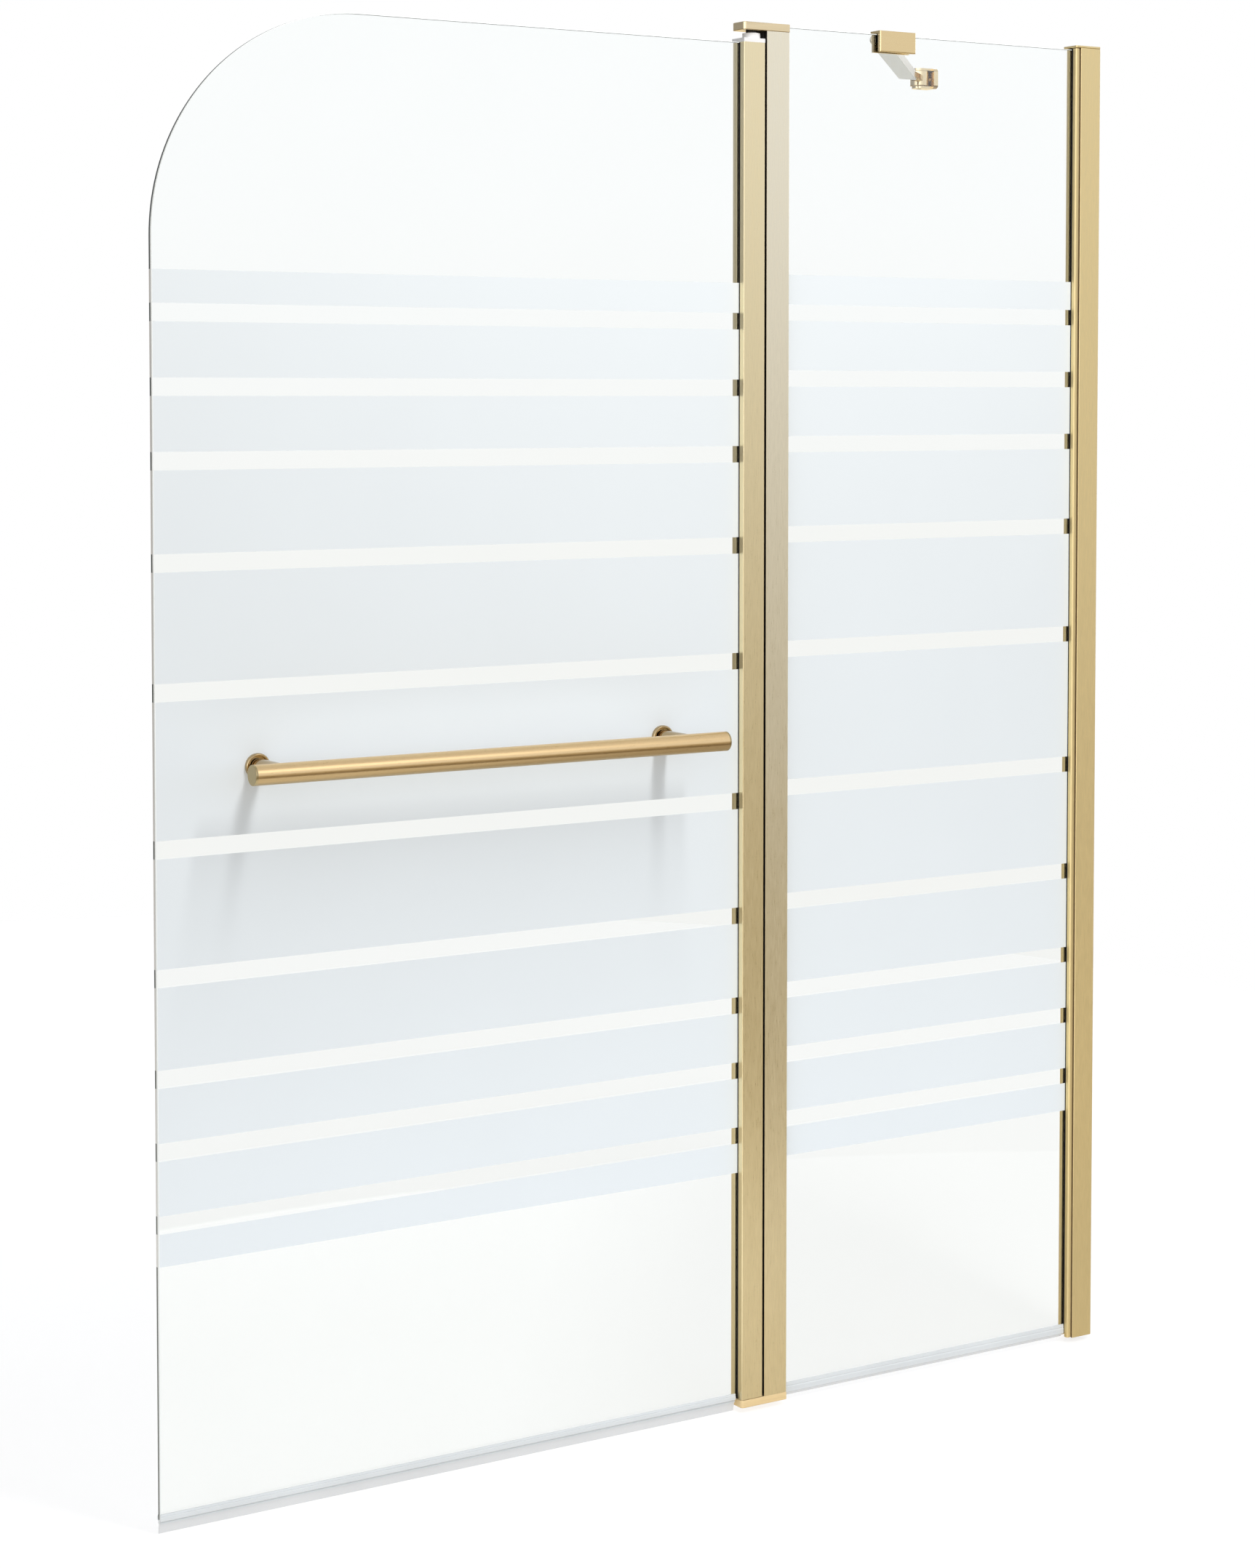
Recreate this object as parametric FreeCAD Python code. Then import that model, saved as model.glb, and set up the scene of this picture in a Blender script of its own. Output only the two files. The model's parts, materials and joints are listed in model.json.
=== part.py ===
"""Bath screen: a pivoting glass door beside a fixed glass panel that is held to the wall.

Millimetres. The origin is the middle of the wall profile's back face: +X runs into the wall,
+Y to the bath side, +Z up. The glass lies in the plane Y = 0, and the bath rim is half the
screen's height below the origin.
"""
import FreeCAD, Part
import math
import os
from FreeCAD import Vector

# Overall sizes
screen_width = 1100.0            # wall to the free edge of the door glass
screen_height = 1400.0           # bath rim to the top of the hinge caps
fixed_width = 409.5              # wall to the hinge post's glass side

# Glass
glass_thickness = 5.0
glass_arris = 0.5                # ground edge of each pane
door_corner_radius = 210.0       # rounded upper corner of the door
fixed_glass_above_rim = 5.0
fixed_glass_below_top = 1.5

# Extruded profiles
profile_depth = 22.0             # front to back
profile_wall = 1.6
profile_edge = 0.8               # rounding of the outer edges
channel_depth = 9.5              # how far a pane goes into a profile
gasket_thickness = 1.0
door_profile_width = 25.0
hinge_post_width = 28.0
hinge_gap = 2.5                  # between door profile and post, seen from the front
swing_clearance = 0.5            # door profile to post with the door square to the screen

# Wall fixing
wall_profile_width = 26.5
wall_web = 2.0
wall_side = 1.5
wall_hole_radius = 2.75
wall_hole_from_end = 100.0
wall_cap_thickness = 2.4
wall_cap_overhang = 6.5          # beyond the wall profile, over the adjusting profile
wall_cap_plug_length = 3.5
wall_cap_plug_drop = 12.0
adjusting_reach = 5.5            # how far the adjusting profile stands out of the wall profile
adjusting_width = 21.0
adjusting_lip_radius = 1.8
adjusting_end_gap = 0.5
slide_clearance = 0.3

# Hinge
hinge_cap_thickness = 8.0
hinge_cap_corner = 3.5
hinge_cap_edge = 0.5
cap_slot_clearance = 0.4
pin_radius = 3.0
pin_depth_in_cap = 6.0
pin_depth_in_bush = 16.0
pin_running_clearance = 0.05
fit_clearance = 0.02
bush_flange = 4.0
bush_boss_height = 5.5
bush_boss_radius = 9.0
bush_plug_length = 26.0
plug_clearance = 0.15
top_washer_thickness = 2.2
top_washer_radius = 9.0
bottom_washer_thickness = 1.5
bottom_washer_radius = 4.5
running_gap = 0.3
door_lift = 0.5                  # door profile above the bottom cap
cap_tongue_length = 12.0
hinge_seal_width = 3.2
hinge_seal_groove = 1.0
hinge_seal_stand = 1.2

# Bottom seals
seal_leg = 1.3
seal_web = 1.2
seal_grip = 5.5                  # height of the door seal's legs on the glass
fixed_seal_grip = 9.5
seal_stem_height = 2.8
seal_stem_width = 4.4
door_lip_below_rim = 4.5
lip_root = 1.8
lip_tip = 1.0
lip_lean = 1.6
seal_end_gap = 0.4

# Towel bar
towel_bar_radius = 9.5
towel_bar_wall = 1.2
towel_bar_height = 690.0         # above the bath rim
towel_post_from_edge = 101.0     # left post from the door's free edge
towel_post_from_profile = 92.0   # right post from the door profile
towel_bar_overhang = 35.0        # bar beyond each post
towel_bar_stand_off = 62.5       # glass face to the bar's axis
towel_post_radius = 7.5
towel_cap_flange = 2.0
towel_cap_plug = 10.0
rosette_radius = 12.0
rosette_thickness = 4.0
glass_hole_radius = 4.0
back_cap_radius = 11.0
back_cap_thickness = 5.0
stud_radius = 2.5
stud_clearance = 0.05
stud_grip = 3.5                  # length inside the back cap
stud_end_gap = 0.3

# Support arm
clamp_from_wall = 271.0
clamp_width = 46.0
clamp_leg = 4.2
clamp_height = 21.5
clamp_web = 3.0
clamp_edge = 0.8
pad_thickness = 2.1
pad_top = 0.5
pad_drop = 9.0                   # below the top of the glass
pad_inset = 1.0
clamp_screw_spacing = 36.0
clamp_screw_radius = 2.5
clamp_screw_head_radius = 5.5
clamp_screw_head = 4.0
arm_length = 365.0               # pin to pin
arm_width = 20.0
arm_thickness = 10.0
arm_side_gap = 0.2
arm_pin_radius = 3.0
clamp_pin_from_leg = 11.2
clamp_ear = 4.0
clamp_ear_radius = 7.0
bracket_plate = 6.0
bracket_plate_width = 25.0
bracket_corner = 4.0
bracket_ear = 6.3
bracket_ear_radius = 7.5
bracket_pin_from_wall = 18.0
bracket_hole_radius = 2.25

# Places that follow from the sizes above
rim_z = -screen_height / 2
top_z = screen_height / 2
half_depth = profile_depth / 2
half_glass = glass_thickness / 2
half_slot = half_glass + gasket_thickness
free_edge_x = -screen_width
post_right = -fixed_width
post_left = post_right - hinge_post_width
door_profile_right = post_left - hinge_gap
door_profile_left = door_profile_right - door_profile_width
pivot_x = post_left - half_depth - swing_clearance
nose_radius = math.hypot(door_profile_right - pivot_x, half_depth)
hollow_radius = math.hypot(post_left - pivot_x, half_depth)
post_bottom = rim_z + hinge_cap_thickness
post_top = top_z - hinge_cap_thickness
door_bottom = post_bottom + door_lift
door_top = post_top - top_washer_thickness - running_gap - bush_boss_height - bush_flange
fixed_glass_bottom = rim_z + fixed_glass_above_rim
fixed_glass_top = top_z - fixed_glass_below_top
adjusting_left = -wall_profile_width - adjusting_reach
adjusting_right = adjusting_left + adjusting_width
half_adjusting = half_depth - wall_side - slide_clearance
wall_hole_spacing_outer = screen_height - 2 * wall_hole_from_end
wall_hole_spacing_inner = wall_hole_spacing_outer / 3
post_core_x = (pivot_x + hollow_radius + hinge_seal_groove + profile_wall,
               post_right - channel_depth - profile_wall)
post_core_half = half_depth - profile_wall
towel_post_left_x = free_edge_x + towel_post_from_edge
towel_post_right_x = door_profile_left - towel_post_from_profile
towel_bar_y = -half_glass - towel_bar_stand_off
towel_bar_z = rim_z + towel_bar_height
clamp_x = -clamp_from_wall
half_clamp = half_glass + pad_thickness + clamp_leg
clamp_top = fixed_glass_top + pad_top + clamp_web
arm_top = clamp_top - clamp_ear - arm_side_gap
arm_bottom = arm_top - arm_thickness
clamp_pin = Vector(clamp_x, half_clamp + clamp_pin_from_leg, 0)
arm_run = clamp_from_wall - bracket_pin_from_wall
bracket_pin = Vector(-bracket_pin_from_wall, clamp_pin.y + math.sqrt(arm_length**2 - arm_run**2), 0)
clamp_screw_z = fixed_glass_top - pad_drop / 2

same_place = 0.001
along_x = Vector(1, 0, 0)
along_y = Vector(0, 1, 0)
along_z = Vector(0, 0, 1)


def box(x_span, y_span, z_span):
    """A block between two limits on each axis."""
    corner = Vector(x_span[0], y_span[0], z_span[0])
    sides = [high - low for low, high in (x_span, y_span, z_span)]
    return Part.makeBox(*sides, corner)


def rod(radius, start, end):
    """A round bar from one point to another."""
    return Part.makeCylinder(radius, (end - start).Length, start, end - start)


def upright_rod(radius, x, y, z_span):
    """A round upright bar between two heights."""
    return Part.makeCylinder(radius, z_span[1] - z_span[0], Vector(x, y, z_span[0]))


def ring(outer_radius, inner_radius, start, end):
    """A round bar with a hole along its axis."""
    return rod(outer_radius, start, end).cut(rod(inner_radius, start, end))


def line(start, end):
    return Part.LineSegment(start, end).toShape()


def arc(start, middle, end):
    return Part.Arc(start, middle, end).toShape()


def extrude(edges, travel):
    """A closed outline of edges pushed along a vector."""
    return Part.Face(Part.Wire(edges)).extrude(travel)


def polygon(points, travel):
    """A closed outline of corner points pushed along a vector."""
    return Part.Face(Part.makePolygon(points + points[:1])).extrude(travel)


def rim_edges(shape, axis, place):
    """The edges that lie wholly at one place along an axis, named x, y or z."""
    def lies_there(edge):
        return all(abs(getattr(vertex.Point, axis) - place) < same_place for vertex in edge.Vertexes)
    return [edge for edge in shape.Edges if lies_there(edge)]


def ease_rim(shape, width, axis, place):
    """Breaks every edge that lies wholly at one place along an axis, with a small chamfer."""
    return shape.makeChamfer(width, rim_edges(shape, axis, place))


def round_upright(shape, radius, x, half_width):
    """Rounds the front and the back upright edge of a profile at one X."""
    at_x = rim_edges(shape, "x", x)
    return shape.makeFillet(radius, [edge for edge in at_x
                                     if abs(abs(edge.CenterOfMass.y) - half_width) < same_place])


def wall_profile():
    """Outer U channel screwed to the wall, open towards the glass."""
    z_span = (rim_z, top_z)
    shape = box((-wall_profile_width, 0), (-half_depth, half_depth), z_span)
    shape = round_upright(shape, profile_edge, -wall_profile_width, half_depth)
    inside = half_depth - wall_side
    shape = shape.cut(box((-wall_profile_width, -wall_web), (-inside, inside), z_span))
    for spacing in (wall_hole_spacing_outer, wall_hole_spacing_inner):
        for z in (-spacing / 2, spacing / 2):
            shape = shape.cut(rod(wall_hole_radius, Vector(-wall_web, 0, z), Vector(0, 0, z)))
    return shape


def wall_profile_cap():
    """Lid on the wall profile that reaches over the adjusting profile, with a plug in the channel."""
    left = -wall_profile_width - wall_cap_overhang
    lid = box((left, 0), (-half_depth, half_depth), (top_z, top_z + wall_cap_thickness))
    lid = round_upright(lid, adjusting_lip_radius, left, half_depth)
    inside = half_depth - wall_side - plug_clearance
    plug_right = -wall_web - plug_clearance
    plug_left = plug_right - wall_cap_plug_length
    plug = box((plug_left, plug_right), (-inside, inside), (top_z - wall_cap_plug_drop, top_z))
    return lid.fuse(plug).removeSplitter()


def adjusting_profile():
    """Inner profile that slides in the wall profile and takes the fixed glass."""
    z_span = (rim_z + adjusting_end_gap, top_z - adjusting_end_gap)
    shape = box((adjusting_left, adjusting_right), (-half_adjusting, half_adjusting), z_span)
    shape = round_upright(shape, adjusting_lip_radius, adjusting_left, half_adjusting)
    slot_end = adjusting_left + channel_depth
    shape = shape.cut(box((adjusting_left, slot_end), (-half_slot, half_slot), z_span))
    hollow_x = (slot_end + profile_wall, adjusting_right - profile_wall)
    hollow_y = half_adjusting - profile_wall
    return shape.cut(box(hollow_x, (-hollow_y, hollow_y), z_span))


def glass_gasket(mouth_x, end_x, z_span):
    """Rubber channel round the edge of a pane, from the profile's mouth to the end of its slot."""
    inward = 1 if end_x > mouth_x else -1
    glass_end = end_x - inward * gasket_thickness
    outside = box(sorted((mouth_x, end_x)), (-half_slot, half_slot), z_span)
    return outside.cut(box(sorted((mouth_x, glass_end)), (-half_glass, half_glass), z_span))


def adjusting_gasket():
    z_span = (rim_z + adjusting_end_gap, top_z - adjusting_end_gap)
    below_glass = box((adjusting_left, adjusting_left + channel_depth), (-half_slot, half_slot),
                      (z_span[0], fixed_glass_bottom - gasket_thickness))
    return glass_gasket(adjusting_left, adjusting_left + channel_depth, z_span).cut(below_glass)


def post_gasket():
    return glass_gasket(post_right, post_right - channel_depth, (post_bottom, post_top))


def door_gasket():
    return glass_gasket(door_profile_left, door_profile_left + channel_depth, (door_bottom, door_top))


def ground_edges(pane):
    """A pane with its sharp edges ground off, front and back."""
    outline = rim_edges(pane, "y", -half_glass) + rim_edges(pane, "y", half_glass)
    return pane.makeChamfer(glass_arris, outline)


def fixed_glass():
    """Plain rectangular pane with ground edges."""
    left = post_right - channel_depth + gasket_thickness
    right = adjusting_left + channel_depth - gasket_thickness
    pane = box((left, right), (-half_glass, half_glass), (fixed_glass_bottom, fixed_glass_top))
    return ground_edges(pane)


def door_glass():
    """Pane with one rounded upper corner and two holes for the towel bar."""
    right = door_profile_left + channel_depth - gasket_thickness
    front = -half_glass
    corner = door_corner_radius
    bend = corner * (1 - math.sqrt(0.5))
    bottom_left = Vector(free_edge_x, front, door_bottom)
    arc_start = Vector(free_edge_x, front, door_top - corner)
    arc_middle = Vector(free_edge_x + bend, front, door_top - bend)
    arc_end = Vector(free_edge_x + corner, front, door_top)
    top_right = Vector(right, front, door_top)
    bottom_right = Vector(right, front, door_bottom)
    outline = [line(bottom_left, arc_start), arc(arc_start, arc_middle, arc_end), line(arc_end, top_right),
               line(top_right, bottom_right), line(bottom_right, bottom_left)]
    pane = ground_edges(extrude(outline, along_y * glass_thickness))
    for x in (towel_post_left_x, towel_post_right_x):
        hole_front = Vector(x, front, towel_bar_z)
        pane = pane.cut(rod(glass_hole_radius, hole_front, hole_front + along_y * glass_thickness))
    return pane


def door_profile_outline(z_span):
    """Solid of the door profile's outer form: flat front and back, round nose about the pivot."""
    z = z_span[0]
    front_left = Vector(door_profile_left, -half_depth, z)
    front_right = Vector(door_profile_right, -half_depth, z)
    nose = Vector(pivot_x + nose_radius, 0, z)
    back_right = Vector(door_profile_right, half_depth, z)
    back_left = Vector(door_profile_left, half_depth, z)
    outline = [line(front_left, front_right), arc(front_right, nose, back_right),
               line(back_right, back_left), line(back_left, front_left)]
    solid = extrude(outline, along_z * (z_span[1] - z))
    return round_upright(solid, profile_edge, door_profile_left, half_depth)


def pivot_chamber(z_span, clearance):
    """The hollow round the pivot, or with a clearance the plug that fits it."""
    left = door_profile_left + channel_depth + profile_wall + clearance
    half_width = half_depth - profile_wall - clearance
    radius = nose_radius - profile_wall - clearance
    inside = box((left, pivot_x + nose_radius), (-half_width, half_width), z_span)
    return inside.common(upright_rod(radius, pivot_x, 0, z_span))


def lip_chambers(mouth_x, end_x, z_span):
    """The two hollows in the lips beside a glass slot."""
    inward = 1 if end_x > mouth_x else -1
    x_span = sorted((mouth_x + inward * profile_wall, end_x))
    low, high = half_slot + profile_wall, half_depth - profile_wall
    return box(x_span, (low, high), z_span).fuse(box(x_span, (-high, -low), z_span))


def door_profile():
    """Extrusion on the hinge side of the door: glass slot, hollow lips and a chamber round the pivot."""
    z_span = (door_bottom, door_top)
    slot_end = door_profile_left + channel_depth
    shape = door_profile_outline(z_span)
    shape = shape.cut(box((door_profile_left, slot_end), (-half_slot, half_slot), z_span))
    shape = shape.cut(pivot_chamber(z_span, 0))
    return shape.cut(lip_chambers(door_profile_left, slot_end, z_span))


def hinge_post():
    """Extrusion between the panes: glass slot, open core and a hollow side round the door profile."""
    z_span = (post_bottom, post_top)
    front_left = Vector(post_left, -half_depth, post_bottom)
    front_right = Vector(post_right, -half_depth, post_bottom)
    back_right = Vector(post_right, half_depth, post_bottom)
    back_left = Vector(post_left, half_depth, post_bottom)
    hollow = Vector(pivot_x + hollow_radius, 0, post_bottom)
    outline = [line(front_left, front_right), line(front_right, back_right), line(back_right, back_left),
               arc(back_left, hollow, front_left)]
    shape = extrude(outline, along_z * (post_top - post_bottom))
    shape = round_upright(shape, profile_edge, post_right, half_depth)
    slot_end = post_right - channel_depth
    shape = shape.cut(box((slot_end, post_right), (-half_slot, half_slot), z_span))
    shape = shape.cut(lip_chambers(post_right, slot_end, z_span))
    shape = shape.cut(box(post_core_x, (-post_core_half, post_core_half), z_span))
    return shape.cut(hinge_seal_groove_block())


def hinge_seal_groove_block():
    """Groove for the seal strip, in the middle of the post's hollow side."""
    deepest = pivot_x + hollow_radius + hinge_seal_groove
    half_width = hinge_seal_width / 2
    return box((pivot_x, deepest), (-half_width, half_width), (post_bottom, post_top))


def hinge_seal_strip():
    """Rubber strip that closes the gap between the post and the door profile."""
    face = upright_rod(hollow_radius - hinge_seal_stand, pivot_x, 0, (post_bottom, post_top))
    return hinge_seal_groove_block().cut(face)


def hinge_cap(inner_z, outer_z, glass_z):
    """Lid over or under the post and the door profile: it holds the pivot pin and takes the glass corner.

    A tongue on its inner face plugs into the post's core.
    """
    z_span = sorted((inner_z, outer_z))
    shape = box((door_profile_left, post_right), (-half_depth, half_depth), z_span)
    shape = round_upright(shape, hinge_cap_corner, door_profile_left, half_depth)
    shape = ease_rim(shape, hinge_cap_edge, "z", outer_z)
    toward_outer = 1 if outer_z > inner_z else -1
    slot_z = sorted((inner_z, glass_z + toward_outer * cap_slot_clearance))
    slot_left = post_right - channel_depth
    shape = shape.cut(box((slot_left, post_right), (-half_slot, half_slot), slot_z))
    pin_z = sorted((inner_z, inner_z + toward_outer * pin_depth_in_cap))
    shape = shape.cut(upright_rod(pin_radius + fit_clearance, pivot_x, 0, pin_z))
    tongue_x = (post_core_x[0] + plug_clearance, post_core_x[1] - plug_clearance)
    tongue_y = post_core_half - plug_clearance
    tongue_z = sorted((inner_z, inner_z - toward_outer * cap_tongue_length))
    return shape.fuse(box(tongue_x, (-tongue_y, tongue_y), tongue_z)).removeSplitter()


def top_pivot_bush():
    """White plug in the door profile's upper end, with a flange on the profile and a boss under the cap."""
    flange = door_profile_outline((door_top, door_top + bush_flange))
    boss_top = door_top + bush_flange + bush_boss_height
    boss = upright_rod(bush_boss_radius, pivot_x, 0, (door_top + bush_flange, boss_top))
    plug = pivot_chamber((door_top - bush_plug_length, door_top), plug_clearance)
    shape = flange.fuse([boss, plug]).removeSplitter()
    bore_z = (boss_top - bush_boss_height - pin_depth_in_bush, boss_top)
    return shape.cut(upright_rod(pin_radius + pin_running_clearance, pivot_x, 0, bore_z))


def bottom_bush_face():
    """Height of the lower bush's face, just above its washer."""
    return post_bottom + bottom_washer_thickness + running_gap


def bottom_pivot_bush():
    """White plug in the door profile's lower end that turns on the lower pin."""
    low = bottom_bush_face()
    plug = pivot_chamber((low, low + bush_plug_length), plug_clearance)
    bore_z = (low, low + pin_depth_in_bush)
    return plug.cut(upright_rod(pin_radius + pin_running_clearance, pivot_x, 0, bore_z))


def top_pivot_pin():
    low = door_top + bush_flange - pin_depth_in_bush + running_gap
    return upright_rod(pin_radius, pivot_x, 0, (low, post_top + pin_depth_in_cap))


def bottom_pivot_pin():
    high = bottom_bush_face() + pin_depth_in_bush - running_gap
    return upright_rod(pin_radius, pivot_x, 0, (post_bottom - pin_depth_in_cap, high))


def top_washer():
    low = Vector(pivot_x, 0, post_top - top_washer_thickness)
    return ring(top_washer_radius, pin_radius + fit_clearance, low, Vector(pivot_x, 0, post_top))


def bottom_washer():
    high = Vector(pivot_x, 0, post_bottom + bottom_washer_thickness)
    return ring(bottom_washer_radius, pin_radius + fit_clearance, Vector(pivot_x, 0, post_bottom), high)


def seal_carrier(x_span, glass_bottom, grip, stem):
    """Clear channel clipped on the lower edge of a pane, with a stem below it unless that is 0 high."""
    half_width = half_glass + seal_leg
    web_bottom = glass_bottom - seal_web
    shape = box(x_span, (-half_width, half_width), (web_bottom, glass_bottom + grip))
    shape = shape.cut(box(x_span, (-half_glass, half_glass), (glass_bottom, glass_bottom + grip)))
    if stem > 0:
        half_stem = seal_stem_width / 2
        stem_block = box(x_span, (-half_stem, half_stem), (web_bottom - stem, web_bottom))
        shape = shape.fuse(stem_block).removeSplitter()
    return shape


def seal_lip(x_span, top, bottom):
    """Soft fin under a seal carrier that leans towards the bath."""
    x = x_span[0]
    section = [Vector(x, -lip_root / 2, top), Vector(x, lip_root / 2, top),
               Vector(x, lip_lean + lip_tip / 2, bottom), Vector(x, lip_lean - lip_tip / 2, bottom)]
    return polygon(section, along_x * (x_span[1] - x))


def door_seal_span():
    """X limits of the door seal: it stops short of the circle in which the lower cap's corners lie."""
    corner_x = pivot_x - door_profile_left - hinge_cap_corner
    corner_y = half_depth - hinge_cap_corner
    cap_reach = math.hypot(corner_x, corner_y) + hinge_cap_corner
    return free_edge_x, pivot_x - cap_reach - seal_end_gap


def fixed_seal_span():
    return post_right + seal_end_gap, adjusting_left - seal_end_gap


def door_seal_carrier():
    return seal_carrier(door_seal_span(), door_bottom, seal_grip, seal_stem_height)


def door_seal_lip():
    return seal_lip(door_seal_span(), door_bottom - seal_web - seal_stem_height, rim_z - door_lip_below_rim)


def fixed_seal_carrier():
    return seal_carrier(fixed_seal_span(), fixed_glass_bottom, fixed_seal_grip, 0)


def fixed_seal_lip():
    return seal_lip(fixed_seal_span(), fixed_glass_bottom - seal_web, rim_z)


def towel_bar():
    """Round tube along the door."""
    reach = towel_bar_overhang - towel_cap_flange
    start = Vector(towel_post_left_x - reach, towel_bar_y, towel_bar_z)
    end = Vector(towel_post_right_x + reach, towel_bar_y, towel_bar_z)
    return ring(towel_bar_radius, towel_bar_radius - towel_bar_wall, start, end)


def towel_end_cap(post_x, side):
    """Flat lid with a plug, for the tube's end beyond the post on the left (side -1) or right (side 1)."""
    outward = along_x * side
    outer = Vector(post_x, towel_bar_y, towel_bar_z) + outward * towel_bar_overhang
    seat = outer - outward * towel_cap_flange
    plug_radius = towel_bar_radius - towel_bar_wall - plug_clearance
    plug = rod(plug_radius, seat - outward * towel_cap_plug, seat)
    return rod(towel_bar_radius, seat, outer).fuse(plug).removeSplitter()


def towel_post(x):
    """Round post from the rosette to the tube, coped to the tube, with a stud through the glass."""
    foot = Vector(x, -half_glass - rosette_thickness, towel_bar_z)
    post = rod(towel_post_radius, foot, Vector(x, towel_bar_y, towel_bar_z))
    half_cope = along_x * (2 * towel_post_radius)
    on_axis = Vector(x, towel_bar_y, towel_bar_z)
    post = post.cut(rod(towel_bar_radius, on_axis - half_cope, on_axis + half_cope))
    stud = rod(stud_radius, foot, Vector(x, half_glass + stud_grip, towel_bar_z))
    return post.fuse(stud).removeSplitter()


def towel_rosette(x):
    """Round foot of a post on the front of the glass."""
    back = Vector(x, -half_glass, towel_bar_z)
    front = back - along_y * rosette_thickness
    return ring(rosette_radius, stud_radius + stud_clearance, front, back)


def towel_back_cap(x):
    """Round nut on the bath side of the glass, drilled part way for the stud."""
    seat = Vector(x, half_glass, towel_bar_z)
    disc = rod(back_cap_radius, seat, seat + along_y * back_cap_thickness)
    return disc.cut(rod(stud_radius + stud_clearance, seat, seat + along_y * (stud_grip + stud_end_gap)))


def ears_span(ear_thickness):
    """Heights of the two ears' outer faces, below and above the bar."""
    return arm_bottom - arm_side_gap - ear_thickness, arm_top + arm_side_gap + ear_thickness


def ear(pin, root_y_span, root_x_span, radius, z_span):
    """Flat lug with a round end about an upright pin."""
    block = box(root_x_span, root_y_span, z_span)
    return block.fuse(upright_rod(radius, pin.x, pin.y, z_span)).removeSplitter()


def arm_clamp():
    """U piece over the top of the fixed glass, with two ears behind it for the arm."""
    low = clamp_top - clamp_height
    half_width = clamp_width / 2
    x_span = (clamp_x - half_width, clamp_x + half_width)
    inside = half_glass + pad_thickness
    shape = box(x_span, (-half_clamp, half_clamp), (low, clamp_top))
    shape = ease_rim(ease_rim(shape, clamp_edge, "y", -half_clamp), clamp_edge, "y", half_clamp)
    shape = shape.cut(box(x_span, (-inside, inside), (low, clamp_top - clamp_web)))
    ear_x = (clamp_x - clamp_ear_radius, clamp_x + clamp_ear_radius)
    ear_y = (half_clamp - clamp_leg / 2, clamp_pin.y)
    ears_low, ears_high = ears_span(clamp_ear)
    for z_span in ((ears_low, ears_low + clamp_ear), (ears_high - clamp_ear, ears_high)):
        shape = shape.fuse(ear(clamp_pin, ear_y, ear_x, clamp_ear_radius, z_span))
    shape = shape.removeSplitter()
    pin_hole_radius = arm_pin_radius + fit_clearance
    shape = shape.cut(upright_rod(pin_hole_radius, clamp_pin.x, clamp_pin.y, (ears_low, ears_high)))
    for x in clamp_screw_places():
        shape = shape.cut(rod(clamp_screw_radius + stud_clearance, Vector(x, inside, clamp_screw_z),
                              Vector(x, half_clamp, clamp_screw_z)))
    return shape


def clamp_screw_places():
    return [clamp_x - clamp_screw_spacing / 2, clamp_x + clamp_screw_spacing / 2]


def arm_clamp_pad():
    """Rubber saddle between the clamp and the glass."""
    half_width = clamp_width / 2 - pad_inset
    x_span = (clamp_x - half_width, clamp_x + half_width)
    outside = half_glass + pad_thickness
    low = fixed_glass_top - pad_drop
    shape = box(x_span, (-outside, outside), (low, fixed_glass_top + pad_top))
    return shape.cut(box(x_span, (-half_glass, half_glass), (low, fixed_glass_top)))


def clamp_screw(x):
    """Round-headed screw that presses the pad from the bath side."""
    tip = Vector(x, half_glass + pad_thickness, clamp_screw_z)
    seat = Vector(x, half_clamp, clamp_screw_z)
    head = rod(clamp_screw_head_radius, seat, seat + along_y * clamp_screw_head)
    return head.fuse(rod(clamp_screw_radius, tip, seat)).removeSplitter()


def arm_pin(place, ear_thickness):
    """Upright pin through two ears and the end of the bar."""
    return upright_rod(arm_pin_radius, place.x, place.y, ears_span(ear_thickness))


def support_bar():
    """Flat bar with round ends, drilled for the two pins."""
    along = (bracket_pin - clamp_pin).normalize() * (arm_width / 2)
    across = Vector(-along.y, along.x, 0)
    near = clamp_pin + along_z * arm_bottom
    far = bracket_pin + along_z * arm_bottom
    outline = [line(near - across, far - across), arc(far - across, far + along, far + across),
               line(far + across, near + across), arc(near + across, near - along, near - across)]
    bar = extrude(outline, along_z * arm_thickness)
    for place in (near, far):
        bar = bar.cut(rod(arm_pin_radius + pin_running_clearance, place, place + along_z * arm_thickness))
    return bar


def wall_bracket():
    """Plate on the wall with two ears that hold the end of the bar."""
    low, high = ears_span(bracket_ear)
    half_width = bracket_plate_width / 2
    plate = box((-bracket_plate, 0), (bracket_pin.y - half_width, bracket_pin.y + half_width), (low, high))
    long_edges = [edge for edge in plate.Edges if edge.BoundBox.XLength > bracket_plate / 2]
    plate = plate.makeFillet(bracket_corner, long_edges)
    ear_x = (bracket_pin.x, -bracket_plate / 2)
    ear_y = (bracket_pin.y - bracket_ear_radius, bracket_pin.y + bracket_ear_radius)
    bottom_ear = ear(bracket_pin, ear_y, ear_x, bracket_ear_radius, (low, low + bracket_ear))
    top_ear = ear(bracket_pin, ear_y, ear_x, bracket_ear_radius, (high - bracket_ear, high))
    shape = plate.fuse([bottom_ear, top_ear]).removeSplitter()
    pin_hole_radius = arm_pin_radius + fit_clearance
    shape = shape.cut(upright_rod(pin_hole_radius, bracket_pin.x, bracket_pin.y, (low, high)))
    middle = Vector(-bracket_plate, bracket_pin.y, (low + high) / 2)
    return shape.cut(rod(bracket_hole_radius, middle, middle + along_x * bracket_plate))


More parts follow.
